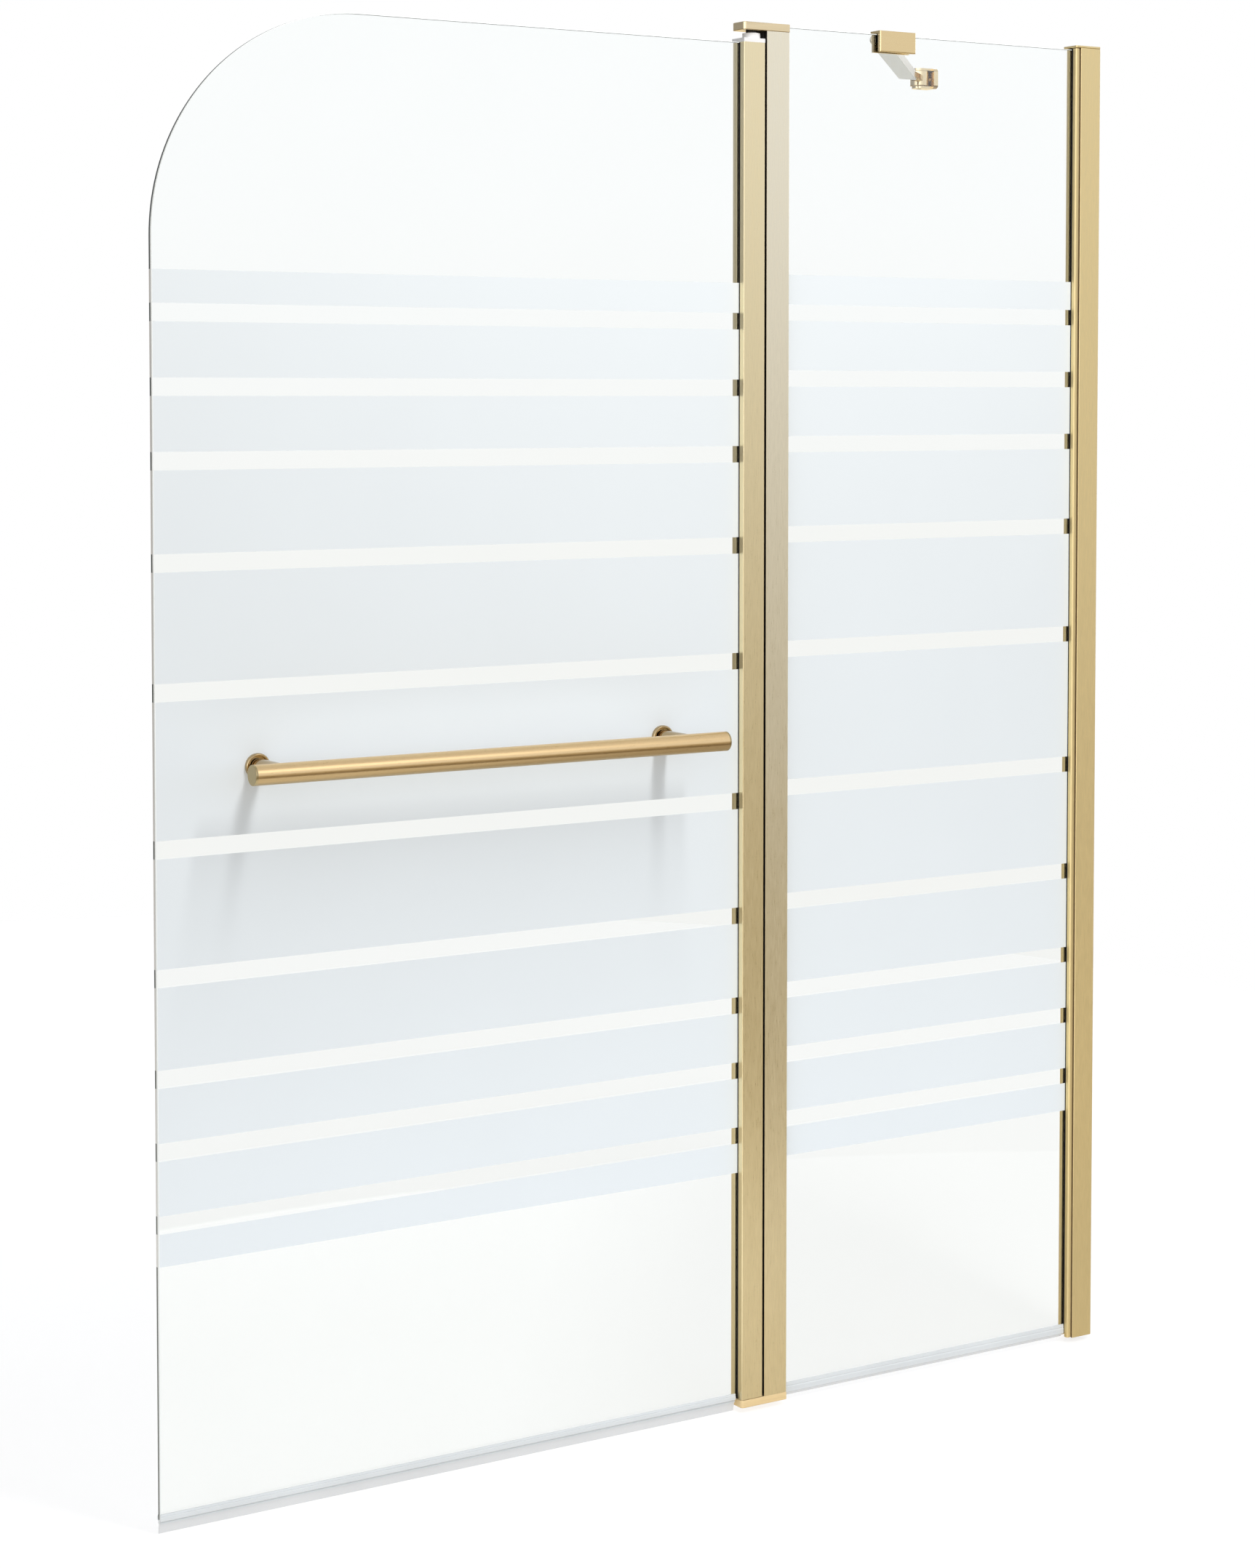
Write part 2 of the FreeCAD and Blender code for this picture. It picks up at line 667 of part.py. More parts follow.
def build_pieces():
    """Every piece of the screen by its name."""
    pieces = {
        "wall_profile": wall_profile(),
        "wall_profile_cap": wall_profile_cap(),
        "adjusting_profile": adjusting_profile(),
        "adjusting_gasket": adjusting_gasket(),
        "fixed_glass": fixed_glass(),
        "hinge_post": hinge_post(),
        "post_gasket": post_gasket(),
        "hinge_seal_strip": hinge_seal_strip(),
        "top_hinge_cap": hinge_cap(post_top, top_z, fixed_glass_top),
        "bottom_hinge_cap": hinge_cap(post_bottom, rim_z, fixed_glass_bottom),
        "top_pivot_pin": top_pivot_pin(),
        "bottom_pivot_pin": bottom_pivot_pin(),
        "top_washer": top_washer(),
        "bottom_washer": bottom_washer(),
        "fixed_seal_carrier": fixed_seal_carrier(),
        "fixed_seal_lip": fixed_seal_lip(),
        "door_glass": door_glass(),
        "door_profile": door_profile(),
        "door_gasket": door_gasket(),
        "top_pivot_bush": top_pivot_bush(),
        "bottom_pivot_bush": bottom_pivot_bush(),
        "door_seal_carrier": door_seal_carrier(),
        "door_seal_lip": door_seal_lip(),
        "towel_bar": towel_bar(),
        "arm_clamp": arm_clamp(),
        "arm_clamp_pad": arm_clamp_pad(),
        "arm_clamp_screws": Part.makeCompound([clamp_screw(x) for x in clamp_screw_places()]),
        "arm_clamp_pin": arm_pin(clamp_pin, clamp_ear),
        "support_bar": support_bar(),
        "wall_bracket": wall_bracket(),
        "wall_bracket_pin": arm_pin(bracket_pin, bracket_ear),
    }
    for word, side, x in (("left", -1, towel_post_left_x), ("right", 1, towel_post_right_x)):
        pieces["towel_end_cap_" + word] = towel_end_cap(x, side)
        pieces["towel_post_" + word] = towel_post(x)
        pieces["towel_rosette_" + word] = towel_rosette(x)
        pieces["towel_back_cap_" + word] = towel_back_cap(x)
    return pieces


os.makedirs("parts", exist_ok=True)
for name, shape in build_pieces().items():
    shape.exportStep(os.path.join("parts", name + ".step"))
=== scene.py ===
"""Bath screen: finishes, small fittings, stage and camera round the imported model.

Metres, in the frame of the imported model: +X runs into the wall, +Y to the bath side, +Z up.
The glass lies in the plane Y = 0 and the bath rim is at RIM.
"""

import json
import math

import bmesh
import bpy
from bpy.props import FloatProperty, FloatVectorProperty, PointerProperty
from mathutils import Matrix, Vector

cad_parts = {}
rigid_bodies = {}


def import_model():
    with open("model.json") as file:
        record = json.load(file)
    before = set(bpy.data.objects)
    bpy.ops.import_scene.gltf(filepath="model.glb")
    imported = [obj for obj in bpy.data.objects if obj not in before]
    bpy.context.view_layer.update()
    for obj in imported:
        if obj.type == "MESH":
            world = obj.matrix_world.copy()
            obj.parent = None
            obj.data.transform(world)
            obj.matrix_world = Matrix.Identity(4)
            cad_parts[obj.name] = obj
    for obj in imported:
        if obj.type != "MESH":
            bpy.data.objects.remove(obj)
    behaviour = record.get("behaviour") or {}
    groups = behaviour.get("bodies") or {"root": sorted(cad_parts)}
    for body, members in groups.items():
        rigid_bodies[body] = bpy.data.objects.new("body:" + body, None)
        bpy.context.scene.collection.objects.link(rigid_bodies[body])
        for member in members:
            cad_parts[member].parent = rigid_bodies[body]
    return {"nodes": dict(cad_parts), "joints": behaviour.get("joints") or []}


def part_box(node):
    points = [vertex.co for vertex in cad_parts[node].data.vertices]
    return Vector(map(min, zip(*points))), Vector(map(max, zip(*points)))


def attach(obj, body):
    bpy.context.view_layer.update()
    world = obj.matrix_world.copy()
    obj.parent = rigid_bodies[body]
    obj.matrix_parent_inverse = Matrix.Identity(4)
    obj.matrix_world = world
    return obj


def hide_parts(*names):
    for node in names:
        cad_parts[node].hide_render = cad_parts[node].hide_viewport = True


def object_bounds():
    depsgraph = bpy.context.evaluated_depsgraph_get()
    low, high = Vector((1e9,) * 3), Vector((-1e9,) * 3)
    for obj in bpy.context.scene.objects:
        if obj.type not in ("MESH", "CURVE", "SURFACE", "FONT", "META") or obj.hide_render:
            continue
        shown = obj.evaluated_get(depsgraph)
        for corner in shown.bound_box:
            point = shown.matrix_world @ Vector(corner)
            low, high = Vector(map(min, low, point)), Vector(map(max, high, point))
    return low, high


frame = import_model()
cad_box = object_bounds()

bl_info = {
    "name": "Bath Screen",
    "version": (1, 0, 0),
    "blender": (4, 5, 0),
    "location": "View3D > Sidebar > Bath Screen",
    "description": "Finishes, fittings and studio for a pivoting bath screen",
    "category": "Object",
}

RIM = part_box("bottom_hinge_cap")[0].z
ALONG_X = Vector((1, 0, 0))
ALONG_Y = Vector((0, 1, 0))
ALONG_Z = Vector((0, 0, 1))
NEAR_LEFT = Vector((-0.81, -0.59, 0))
FAR_LEFT = Vector((-0.6, 0.8, 0))

# Distances under SAME_PLACE count as none. Edges bent by more than SHARP, in radians, are sharp.
# FLAT is the least cosine between a face's normal and the way that it looks.
SAME_PLACE = 1e-6
SHARP = 0.6
FLAT = 0.999
LONG_EDGE = 0.5
DRILL_REACH = 0.01
ROUND_STEPS = 64
SCREW_STEPS = 48
HOLE_STEPS = 32
SHANK_STEPS = 24

# Order of the finishes on a pane and on the support bar; the bar's underside is painted paler, painted
# light, and its top and sides darker, painted shade.
CLEAR, FROSTED, GROUND, GROUND_BESIDE_BAND = range(4)
PAINTED_LIGHT_UNDERSIDE, PAINTED_SHADE_SIDES = range(2)

# Marks per metre along X, Y and Z.
BRUSHED_UPRIGHT = (1300, 1300, 70)
BRUSHED_TUBE = (90, 1300, 1300)
SATIN_CAP = (30, 700, 700)
SATIN_CLAMP = (40, 700, 700)
SATIN_BAR = (60, 700, 700)
TURNED = (900, 60, 900)
MATT = (900, 900, 900)
SCREW_POLISH = (600, 600, 600)
POLISH = (400, 400, 400)
MOULD_GRAIN = (1200, 1200, 1200)
ETCHING = (1500, 1500, 1500)
GRINDING = (300, 2500, 300)
GLASS_WAVES = (3, 3, 3)

# Most of a noise texture's values lie in this range, and nearly all in the wide one.
NOISE_RANGE = (0.3, 0.7)
WIDE_NOISE_RANGE = (0.25, 0.75)
MARKINGS = {
    "brushing": {"detail": 5.0, "roughness": 0.7, "cloud_scale": 14.0, "cloud_detail": 2.0},
    "grain": {"detail": 3.0, "roughness": 0.6, "cloud_scale": 9.0, "cloud_detail": 3.0},
}

# Colour of the surroundings, from straight down at 0 to straight up at 1.
SURROUNDINGS = (
    (0.0, (0.5, 0.4, 0.25)), (0.2, (0.2, 0.14, 0.07)), (0.3, (0.2, 0.14, 0.07)),
    (0.39, (0.45, 0.37, 0.23)), (0.47, (0.55, 0.48, 0.33)), (0.53, (1.1, 1.14, 1.24)),
    (0.57, (1.25, 1.3, 1.42)), (0.63, (0.95, 0.97, 1.03)), (0.75, (0.9, 0.9, 0.92)),
    (0.86, (0.95, 0.95, 0.96)), (1.0, (0.65, 0.65, 0.66)))


# Settings


def colour_setting(name, description, default):
    """A colour that a user can change."""
    return FloatVectorProperty(name=name, description=description, default=default,
                               subtype="COLOR", size=3, min=0, max=1)


def length_setting(name, description, default):
    """A length that a user can change, in metres."""
    return FloatProperty(name=name, description=description, default=default, unit="LENGTH", min=0)


def angle_setting(name, description, default):
    """An angle that a user can change, in radians."""
    return FloatProperty(name=name, description=description, default=default, subtype="ANGLE")


def amount_setting(name, description, default):
    """A brightness or a share that a user can change."""
    return FloatProperty(name=name, description=description, default=default, min=0)


class GlassSettings(bpy.types.PropertyGroup):
    """Panes and their frosted bands."""

    clear_colour: colour_setting("Clear Glass", "Tint of the clear glass", (0.938, 0.956, 0.945))
    edge_colour: colour_setting("Ground Edge", "Pale side of the ground edges", (0.86, 0.89, 0.87))
    # The back of each ground edge is painted dark, a painted shade, and less dark beside a frosted band.
    edge_painted_shade: colour_setting("Edge Shade", "Dark side of the ground edges", (0.05, 0.06, 0.055))
    band_edge_painted_shade: colour_setting(
        "Band Edge", "Dark side of the ground edges beside a frosted band", (0.76, 0.74, 0.7))
    band_colour: colour_setting("Frosting", "Colour of the frosted bands", (0.86, 0.915, 0.947))
    # From behind, the frosting is given a painted glow in place of light that comes through it.
    band_painted_glow: amount_setting(
        "Light Through", "Light that comes through the frosting, seen from behind", 0.3)
    band_heights: FloatVectorProperty(
        name="Band Heights", description="Height of each frosted band, from the top",
        unit="LENGTH", size=11, min=0,
        default=(0.03, 0.05, 0.05, 0.075, 0.1, 0.125, 0.1, 0.075, 0.05, 0.05, 0.03))
    band_gap: length_setting("Band Gap", "Clear glass between two bands", 0.0165)
    door_band_top: length_setting("Door Bands", "Top of the door's bands above the bath rim", 1.1408)
    fixed_band_top: length_setting(
        "Fixed Bands", "Top of the fixed panel's bands above the bath rim", 1.1503)
    door_margin: length_setting(
        "Door Margin", "Clear strip between the bands and the door's free edge", 0.0012)
    fixed_margin: length_setting(
        "Fixed Margin", "Clear strip between the bands and the fixed pane's edge at the hinge", 0.001)
    corner_radius: length_setting("Corner Radius", "Rounded upper corner of the door", 0.21)
    arris: length_setting("Arris", "Width of the ground edges' bevels", 0.0006)
    stud_hole: length_setting("Stud Holes", "Radius of the holes for the towel bar's studs", 0.004)


class MetalSettings(bpy.types.PropertyGroup):
    """Gold, silver and steel finishes."""

    door_colour: colour_setting("Door Profile", "Brushed gold of the door profile", (0.83, 0.72, 0.465))
    post_colour: colour_setting("Hinge Post", "Brushed gold of the hinge post", (0.83, 0.77, 0.61))
    wall_colour: colour_setting(
        "Wall Profiles", "Brushed gold of the wall profile and the profile in it", (0.86, 0.71, 0.39))
    top_cap_colour: colour_setting("Top Cap", "Satin gold of the top hinge cap", (0.67, 0.54, 0.33))
    bottom_cap_colour: colour_setting(
        "Bottom Cap", "Satin gold of the bottom hinge cap", (0.95, 0.74, 0.42))
    fitting_colour: colour_setting("Towel Bar", "Satin gold of the towel bar's tube", (0.74, 0.54, 0.29))
    turned_colour: colour_setting(
        "Turned Fittings", "Turned gold of the rosettes, posts and back nuts", (0.43, 0.32, 0.175))
    end_cap_colour: colour_setting("End Caps", "Matt gold of the tube's end caps", (0.42, 0.34, 0.19))
    clamp_colour: colour_setting("Clamp", "Satin gold of the clamp", (0.7, 0.54, 0.29))
    bracket_colour: colour_setting("Bracket", "Polished gold of the wall bracket", (0.66, 0.53, 0.32))
    screw_colour: colour_setting(
        "Clamp Screws", "Pale gold of the clamp's screw heads", (0.93, 0.9, 0.82))
    # The support bar's underside is painted paler and its top and sides darker: painted light and painted
    # shade on one satin silver.
    bar_underside_painted_light: colour_setting(
        "Support Bar", "Satin silver of the support bar's underside", (0.84, 0.91, 0.97))
    bar_sides_painted_shade: colour_setting(
        "Support Bar Sides", "Satin silver of the support bar's top and sides", (0.75, 0.725, 0.665))
    steel_colour: colour_setting("Pins", "Plain steel of the pins", (0.6, 0.6, 0.58))


class SoftSettings(bpy.types.PropertyGroup):
    """Rubber and plastic finishes, the dark strips of painted shade in the gaps, and the seals."""

    # Thin dark strips are put in the hinge gap and the slide gap as painted shade.
    shade_strip_radius: length_setting(
        "Lining Radius", "Radius of the hinge gap's lining about the pivot", 0.0157)
    shade_strip_thickness: length_setting("Lining Thickness", "Thickness of the linings of the gaps", 0.0003)
    shade_strip_start: angle_setting(
        "Lining Start", "Where the hinge gap's lining starts, on each side of the rubber strip",
        math.radians(9))
    shade_strip_sweep: angle_setting(
        "Lining Sweep", "How far the hinge gap's lining goes round the pivot", math.radians(33))
    seal_half_width: length_setting("Seal Half Width", "Half of the width of the seal carriers", 0.0038)
    short_leg: length_setting(
        "Short Leg", "How much shorter the seal carriers' legs behind the glass are", 0.0013)
    seal_slot: length_setting("Seal Slot", "Half of the width of the slot for the glass", 0.00268)
    rubber_colour: colour_setting("Rubber", "Gaskets and pads", (0.012, 0.012, 0.013))
    # Dark brown of the painted shade in the slide gap.
    slide_shade_colour: colour_setting(
        "Slide Lining", "Dark brown in the gap beside the wall profile", (0.075, 0.04, 0.013))
    carrier_colour: colour_setting("Seal Carriers", "Clear plastic of the seals", (0.85, 0.88, 0.885))
    lip_colour: colour_setting("Seal Lips", "Soft fins of the seals", (0.8, 0.805, 0.8))
    bush_colour: colour_setting("Bushes", "White plastic of the pivot bushes", (0.86, 0.86, 0.86))


class FittingSettings(bpy.types.PropertyGroup):
    """Sizes and roundings of the small fittings."""

    profile_edge: length_setting("Profile Edges", "Rounding of the profiles' long edges", 0.0009)
    lid_edge: length_setting("Cap Edges", "Rounding of the caps' edges", 0.0007)
    washer_radius: length_setting(
        "Washer Radius", "Radius of the washer under the top hinge cap", 0.0055)
    tube_wall: length_setting("Tube Wall", "Thickness of the towel bar's tube", 0.0012)
    cap_lid: length_setting("End Cap Lid", "Thickness of the lids of the tube's end caps", 0.002)
    cap_edge: length_setting("End Cap Edge", "Rounding of the tube's end caps", 0.0006)
    plug_inset: length_setting("Plug Inset", "From the rim of an end cap to its plug", 0.00135)
    plug_length: length_setting("Plug Length", "Length of the end caps' plugs in the tube", 0.01)
    rosette_edge: length_setting("Rosette Edge", "Rounding of the rosettes' rims", 0.0014)
    rosette_rim: length_setting("Rosette Rim", "Flat rim of a rosette outside its groove", 0.0011)
    groove_depth: length_setting("Rosette Groove", "Depth of the groove round a rosette's post", 0.0016)
    nut_edge: length_setting("Back Nut Edge", "Rounding of the nuts behind the glass", 0.0016)
    nut_rim: length_setting("Back Nut Rim", "Flat rim of a back nut outside its dish", 0.0016)
    nut_dish: length_setting("Back Nut Dish", "Depth of the dish in a back nut", 0.0004)
    screw_radius: length_setting("Screw Radius", "Radius of the clamp's screw heads", 0.0055)
    screw_head: length_setting("Screw Head", "Height of the clamp's screw heads", 0.004)
    screw_dome: length_setting("Screw Dome", "Rounding of the clamp's screw heads", 0.0026)
    socket_rim: length_setting("Socket Rim", "Flat rim round the socket in a screw head", 0.0008)
    socket_depth: length_setting("Socket Depth", "Depth of the socket in a screw head", 0.0014)
    shank_radius: length_setting("Shank Radius", "Radius of the clamp's screws", 0.0025)
    bar_edge: length_setting("Support Bar Edge", "Rounding of the support bar's long edges", 0.001)
    bar_half_width: length_setting(
        "Support Bar Half Width", "Half of the width of the support bar", 0.0092)
    bar_offset: length_setting(
        "Support Bar Offset", "How far the bar's line passes beside the bracket's pin", 0.013)
    mitre_distance: length_setting(
        "Mitre Distance", "From the bracket's pin to the mitred end of the bar", 0.026)
    neck_half_width: length_setting(
        "Neck Half Width", "Half of the width of the neck between the bar and its knuckle", 0.006)
    neck_shift: length_setting(
        "Neck Shift", "How far the neck's root lies from the middle of the bar", 0.003)
    neck_root: amount_setting("Neck Root", "Share of the bar's length that the neck runs into", 0.17)
    neck_thickness: amount_setting("Neck Thickness", "Share of the bar's thickness", 0.6)
    ear_radius: length_setting(
        "Ear Radius", "Rounding of the wall bracket's ears about the pin", 0.0084)
    ear_thickness: length_setting("Ear Thickness", "Thickness of the wall bracket's ears", 0.0026)
    knuckle_radius: length_setting(
        "Knuckle Radius", "Radius of the knuckle between the wall bracket's ears", 0.0104)
    knuckle_gap: length_setting("Knuckle Gap", "Running gap between the knuckle and an ear", 0.00015)
    plate_thickness: length_setting("Plate Thickness", "Thickness of the wall bracket's plate", 0.006)
    plate_corner: length_setting("Plate Corner", "Rounded corners of the wall bracket's plate", 0.004)
    plate_hole: length_setting(
        "Plate Hole", "Radius of the screw hole in the wall bracket's plate", 0.00225)
    bracket_edge: length_setting("Bracket Edge", "Rounding of the wall bracket's edges", 0.0009)


class StageSettings(bpy.types.PropertyGroup):
    """Floor, lights and camera."""

    floor_colour: colour_setting("Floor", "Pale floor", (0.25, 0.25, 0.25))
    floor_radius: length_setting("Floor Radius", "Size of the round floor", 2.1)
    floor_back: length_setting("Floor Back", "How far the floor's middle lies behind the glass", 1.15)
    floor_drop: length_setting("Floor Drop", "How far the floor lies below the seals", 0.0005)
    floor_glow: amount_setting("Floor Glow", "Light that comes through the floor from below", 0.77)
    side_light: amount_setting(
        "Side Light", "Extra brightness of the surroundings at the two sides", 1.3)
    far_left: amount_setting("Far Left", "Brightness of the surroundings on the far left", 0.4)
    fill: amount_setting("Fill", "Part of the surroundings' light that falls on matt surfaces", 0.61)
    key_power: FloatProperty(
        name="Key Light", description="Power of the light above the door", unit="POWER", min=0, default=40)
    bar_power: FloatProperty(
        name="Bar Light", description="Power of the light mirrored in the towel bar", unit="POWER", min=0,
        default=2.4)
    camera_place: FloatVectorProperty(
        name="Camera", description="Place of the camera", subtype="TRANSLATION", unit="LENGTH", size=3,
        default=(-2.2197, -2.5428, 0.3271))
    camera_turn: angle_setting(
        "Camera Turn", "How far the camera looks to the right of straight ahead", 0.56837)
    camera_tilt: angle_setting("Camera Tilt", "How far the camera looks down", 0.0494)
    camera_lens: FloatProperty(
        name="Lens", description="Focal length of the camera in millimetres", min=1, default=70.62)
    camera_shift: FloatProperty(name="Shift", description="Upright shift of the lens", default=-0.15)


def settings(name):
    """One of the setting groups of the scene."""
    return getattr(bpy.context.scene, "bath_screen_" + name)


def joint_place(name):
    """A point on a joint's axis."""
    return next(Vector(joint["pos_m"]) for joint in frame["joints"] if joint["name"] == name)


def box_middle(node):
    """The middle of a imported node's box."""
    low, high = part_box(node)
    return (low + high) / 2


# Materials


def feed(tree, socket, value):
    """Links a socket to a node's output, or sets it to a plain number, vector or colour."""
    if isinstance(value, bpy.types.NodeSocket):
        tree.links.new(value, socket)
    elif socket.type == "RGBA":
        socket.default_value = (*value, 1.0)
    else:
        socket.default_value = value


def feed_inputs(tree, node, **inputs):
    """Feeds a node's inputs by their names, in which an underscore stands for a space."""
    for name, value in inputs.items():
        feed(tree, node.inputs[name.replace("_", " ")], value)
    return node.outputs


def new_material(name, **constants):
    """A material with one Principled shader, and the values that are the same all over it."""
    made = bpy.data.materials.new(name)
    made.use_nodes = True
    tree = made.node_tree
    shader = tree.nodes["Principled BSDF"]
    feed_inputs(tree, shader, **constants)
    return made, tree, shader


def scaled(colour, factor):
    """A colour made darker or lighter."""
    return tuple(min(1.0, part * factor) for part in colour)


def noise(tree, place, scale, detail, roughness):
    """A noise texture read at a place."""
    node = tree.nodes.new("ShaderNodeTexNoise")
    return feed_inputs(tree, node, Vector=place, Scale=scale, Detail=detail, Roughness=roughness)["Fac"]


def spread(tree, value, old_range, new_range=(0.0, 1.0)):
    """A value mapped from one range to another."""
    node = tree.nodes.new("ShaderNodeMapRange")
    return feed_inputs(tree, node, Value=value, From_Min=old_range[0], From_Max=old_range[1],
                       To_Min=new_range[0], To_Max=new_range[1])["Result"]


def blended(tree, factor, first, second):
    """A colour between two colours, by a factor."""
    node = tree.nodes.new("ShaderNodeMix")
    node.data_type = "RGBA"
    return feed_inputs(tree, node, Factor=factor, A=first, B=second)["Result"]


def varied(tree, mask, colour, darkest, palest):
    """A colour that a mask makes darker or paler, between two factors."""
    return blended(tree, mask, scaled(colour, darkest), scaled(colour, palest))


def reckoned(tree, operation, first, second):
    """The result of a Math node on two values."""
    node = tree.nodes.new("ShaderNodeMath")
    node.operation = operation
    feed(tree, node.inputs[0], first)
    feed(tree, node.inputs[1], second)
    return node.outputs["Value"]


def reach(tree, place, direction):
    """How far a place lies in a direction."""
    node = tree.nodes.new("ShaderNodeVectorMath")
    node.operation = "DOT_PRODUCT"
    feed(tree, node.inputs[0], place)
    feed(tree, node.inputs[1], direction)
    return node.outputs["Value"]


def object_place(tree):
    """Places on the object, in metres."""
    return tree.nodes.new("ShaderNodeTexCoord").outputs["Object"]


def raise_surface(tree, shader, height, strength, distance):
    """A bump on a shader's normal."""
    node = tree.nodes.new("ShaderNodeBump")
    bump = feed_inputs(tree, node, Height=height, Strength=strength, Distance=distance)
    feed_inputs(tree, shader, Normal=bump["Normal"])


def marking_group(name, detail, roughness, cloud_scale, cloud_detail):
    """Fine marks, drawn out where their fineness is low, and the broad clouds of a worked surface."""
    if name in bpy.data.node_groups:
        return bpy.data.node_groups[name]
    group = bpy.data.node_groups.new(name, "ShaderNodeTree")
    for socket in ("Place", "Fineness"):
        group.interface.new_socket(socket, in_out="INPUT", socket_type="NodeSocketVector")
    for socket in ("Marks", "Cloud"):
        group.interface.new_socket(socket, in_out="OUTPUT", socket_type="NodeSocketFloat")
    start = group.nodes.new("NodeGroupInput").outputs
    stretch = group.nodes.new("ShaderNodeVectorMath")
    stretch.operation = "MULTIPLY"
    feed(group, stretch.inputs[0], start["Place"])
    feed(group, stretch.inputs[1], start["Fineness"])
    marks = noise(group, stretch.outputs["Vector"], scale=1.0, detail=detail, roughness=roughness)
    cloud = noise(group, start["Place"], scale=cloud_scale, detail=cloud_detail, roughness=0.5)
    feed_inputs(group, group.nodes.new("NodeGroupOutput"), Marks=marks, Cloud=cloud)
    return group


def markings(tree, name, fineness):
    """A group of marks placed in a material, read on the object's own places."""
    node = tree.nodes.new("ShaderNodeGroup")
    node.node_tree = marking_group(name, **MARKINGS[name])
    return feed_inputs(tree, node, Place=object_place(tree), Fineness=fineness)


def brushed_metal(name, colour, fineness, roughness, contrast, height=0.12, metallic=1.0, below=None):
    """Metal brushed along the axis on which its fineness is low.

    Below is a second colour painted towards the foot, with the height where it starts and the one where it
    is full; the profiles use it as painted reflection and the towel tube as painted shade.
    """
    made, tree, shader = new_material(name, Metallic=metallic)
    marks = markings(tree, "brushing", fineness)["Marks"]
    tone = spread(tree, marks, NOISE_RANGE)
    shade = varied(tree, tone, colour, 1 - contrast, 1 + contrast)
    if below:
        lower_colour, start, full = below
        depth = spread(tree, reach(tree, object_place(tree), ALONG_Z), (start, full))
        shade = blended(tree, depth, shade, varied(tree, tone, lower_colour, 1 - contrast, 1 + contrast))
    feed_inputs(tree, shader, Base_Color=shade, Roughness=spread(tree, marks, WIDE_NOISE_RANGE, roughness))
    raise_surface(tree, shader, marks, height, distance=0.0002)
    return made


def grained(tree, shader, colour, fineness, roughness, darkest, palest):
    """A fine even grain in the roughness and clouds in the colour; gives the grain."""
    out = markings(tree, "grain", fineness)
    feed_inputs(tree, shader, Base_Color=varied(tree, out["Cloud"], colour, darkest, palest),
                Roughness=spread(tree, out["Marks"], NOISE_RANGE, roughness))
    return out["Marks"]


def polished_metal(name, colour, roughness, metallic=1.0):
    """Bright metal with faint smears from handling."""
    made, tree, shader = new_material(name, Metallic=metallic)
    grained(tree, shader, colour, POLISH, roughness, darkest=0.93, palest=1.05)
    return made


def moulded(name, colour, roughness, height, **constants):
    """Moulded rubber or plastic with a fine grain."""
    made, tree, shader = new_material(name, **constants)
    grain = grained(tree, shader, colour, MOULD_GRAIN, roughness, darkest=0.9, palest=1.06)
    raise_surface(tree, shader, grain, height, distance=0.0001)
    return made


def frosting():
    """Etched glass: even and white, with a fine grain; from behind it glows, a painted glow in place of
    light coming through it.
    """
    glass = settings("glass")
    made, tree, shader = new_material("frosted_band", Metallic=0.0, IOR=1.35,
                                      Emission_Strength=glass.band_painted_glow)
    behind = tree.nodes.new("ShaderNodeNewGeometry").outputs["Backfacing"]
    feed_inputs(tree, shader, Emission_Color=blended(tree, behind, (0, 0, 0), glass.band_colour))
    grain = grained(tree, shader, glass.band_colour, ETCHING, (0.5, 0.65), darkest=0.985, palest=1.01)
    raise_surface(tree, shader, grain, strength=0.1, distance=0.00005)
    return made


def clear_glass():
    """Clear float glass with a faint tint and the slight waviness of its surface."""
    colour = settings("glass").clear_colour
    made, tree, shader = new_material("clear_glass", Metallic=0.0, Transmission_Weight=1.0, IOR=1.5)
    cloud = markings(tree, "grain", GLASS_WAVES)["Cloud"]
    feed_inputs(tree, shader, Base_Color=varied(tree, cloud, colour, darkest=1.0, palest=1.015),
                Roughness=spread(tree, cloud, NOISE_RANGE, (0.0, 0.012)))
    return made


def ground_edge(name, dark):
    """Ground edge of a pane: pale at the front and painted darker at the back as painted shade, with
    grinding marks.
    """
    made, tree, shader = new_material(name, Metallic=0.0)
    pale_end, dark_start = -0.0012, -0.0006
    back = spread(tree, reach(tree, object_place(tree), ALONG_Y), (pale_end, dark_start))
    marks = markings(tree, "grain", GRINDING)["Marks"]
    feed_inputs(tree, shader, Base_Color=blended(tree, back, settings("glass").edge_colour, dark),
                Roughness=spread(tree, marks, NOISE_RANGE, (0.25, 0.5)))
    return made


def dress(nodes, finish):
    """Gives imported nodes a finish."""
    for name in nodes:
        piece = frame["nodes"][name]
        if not piece.material_slots:
            piece.data.materials.append(finish)
        for material_slot in piece.material_slots:
            material_slot.material = finish


# Mesh helpers


def block(bm, low, high):
    """A block between two corners."""
    place = Matrix.Translation((low + high) / 2) @ Matrix.Diagonal((*(high - low), 1))
    bmesh.ops.create_cube(bm, size=1, matrix=place)


def rod(bm, radius, start, end, steps=ROUND_STEPS):
    """A round bar from one point to another, and its vertices."""
    turn = (end - start).to_track_quat("Z", "Y").to_matrix().to_4x4()
    place = Matrix.Translation((start + end) / 2) @ turn
    return bmesh.ops.create_cone(bm, cap_ends=True, segments=steps, radius1=radius, radius2=radius,
                                 depth=(end - start).length, matrix=place)["verts"]


def edges_where(bm, test):
    """The edges of which both ends pass a test."""
    return [edge for edge in bm.edges if all(test(vertex.co) for vertex in edge.verts)]


def edges_along(edges, direction):
    """Those of some edges that run at least partly in a direction."""
    return [edge for edge in edges if abs((edge.verts[0].co - edge.verts[1].co).dot(direction)) > SAME_PLACE]


def sharp_edges(edges):
    """Those of some edges at which two faces meet at a clear angle."""
    return [edge for edge in edges if edge.is_manifold and edge.calc_face_angle() > SHARP]


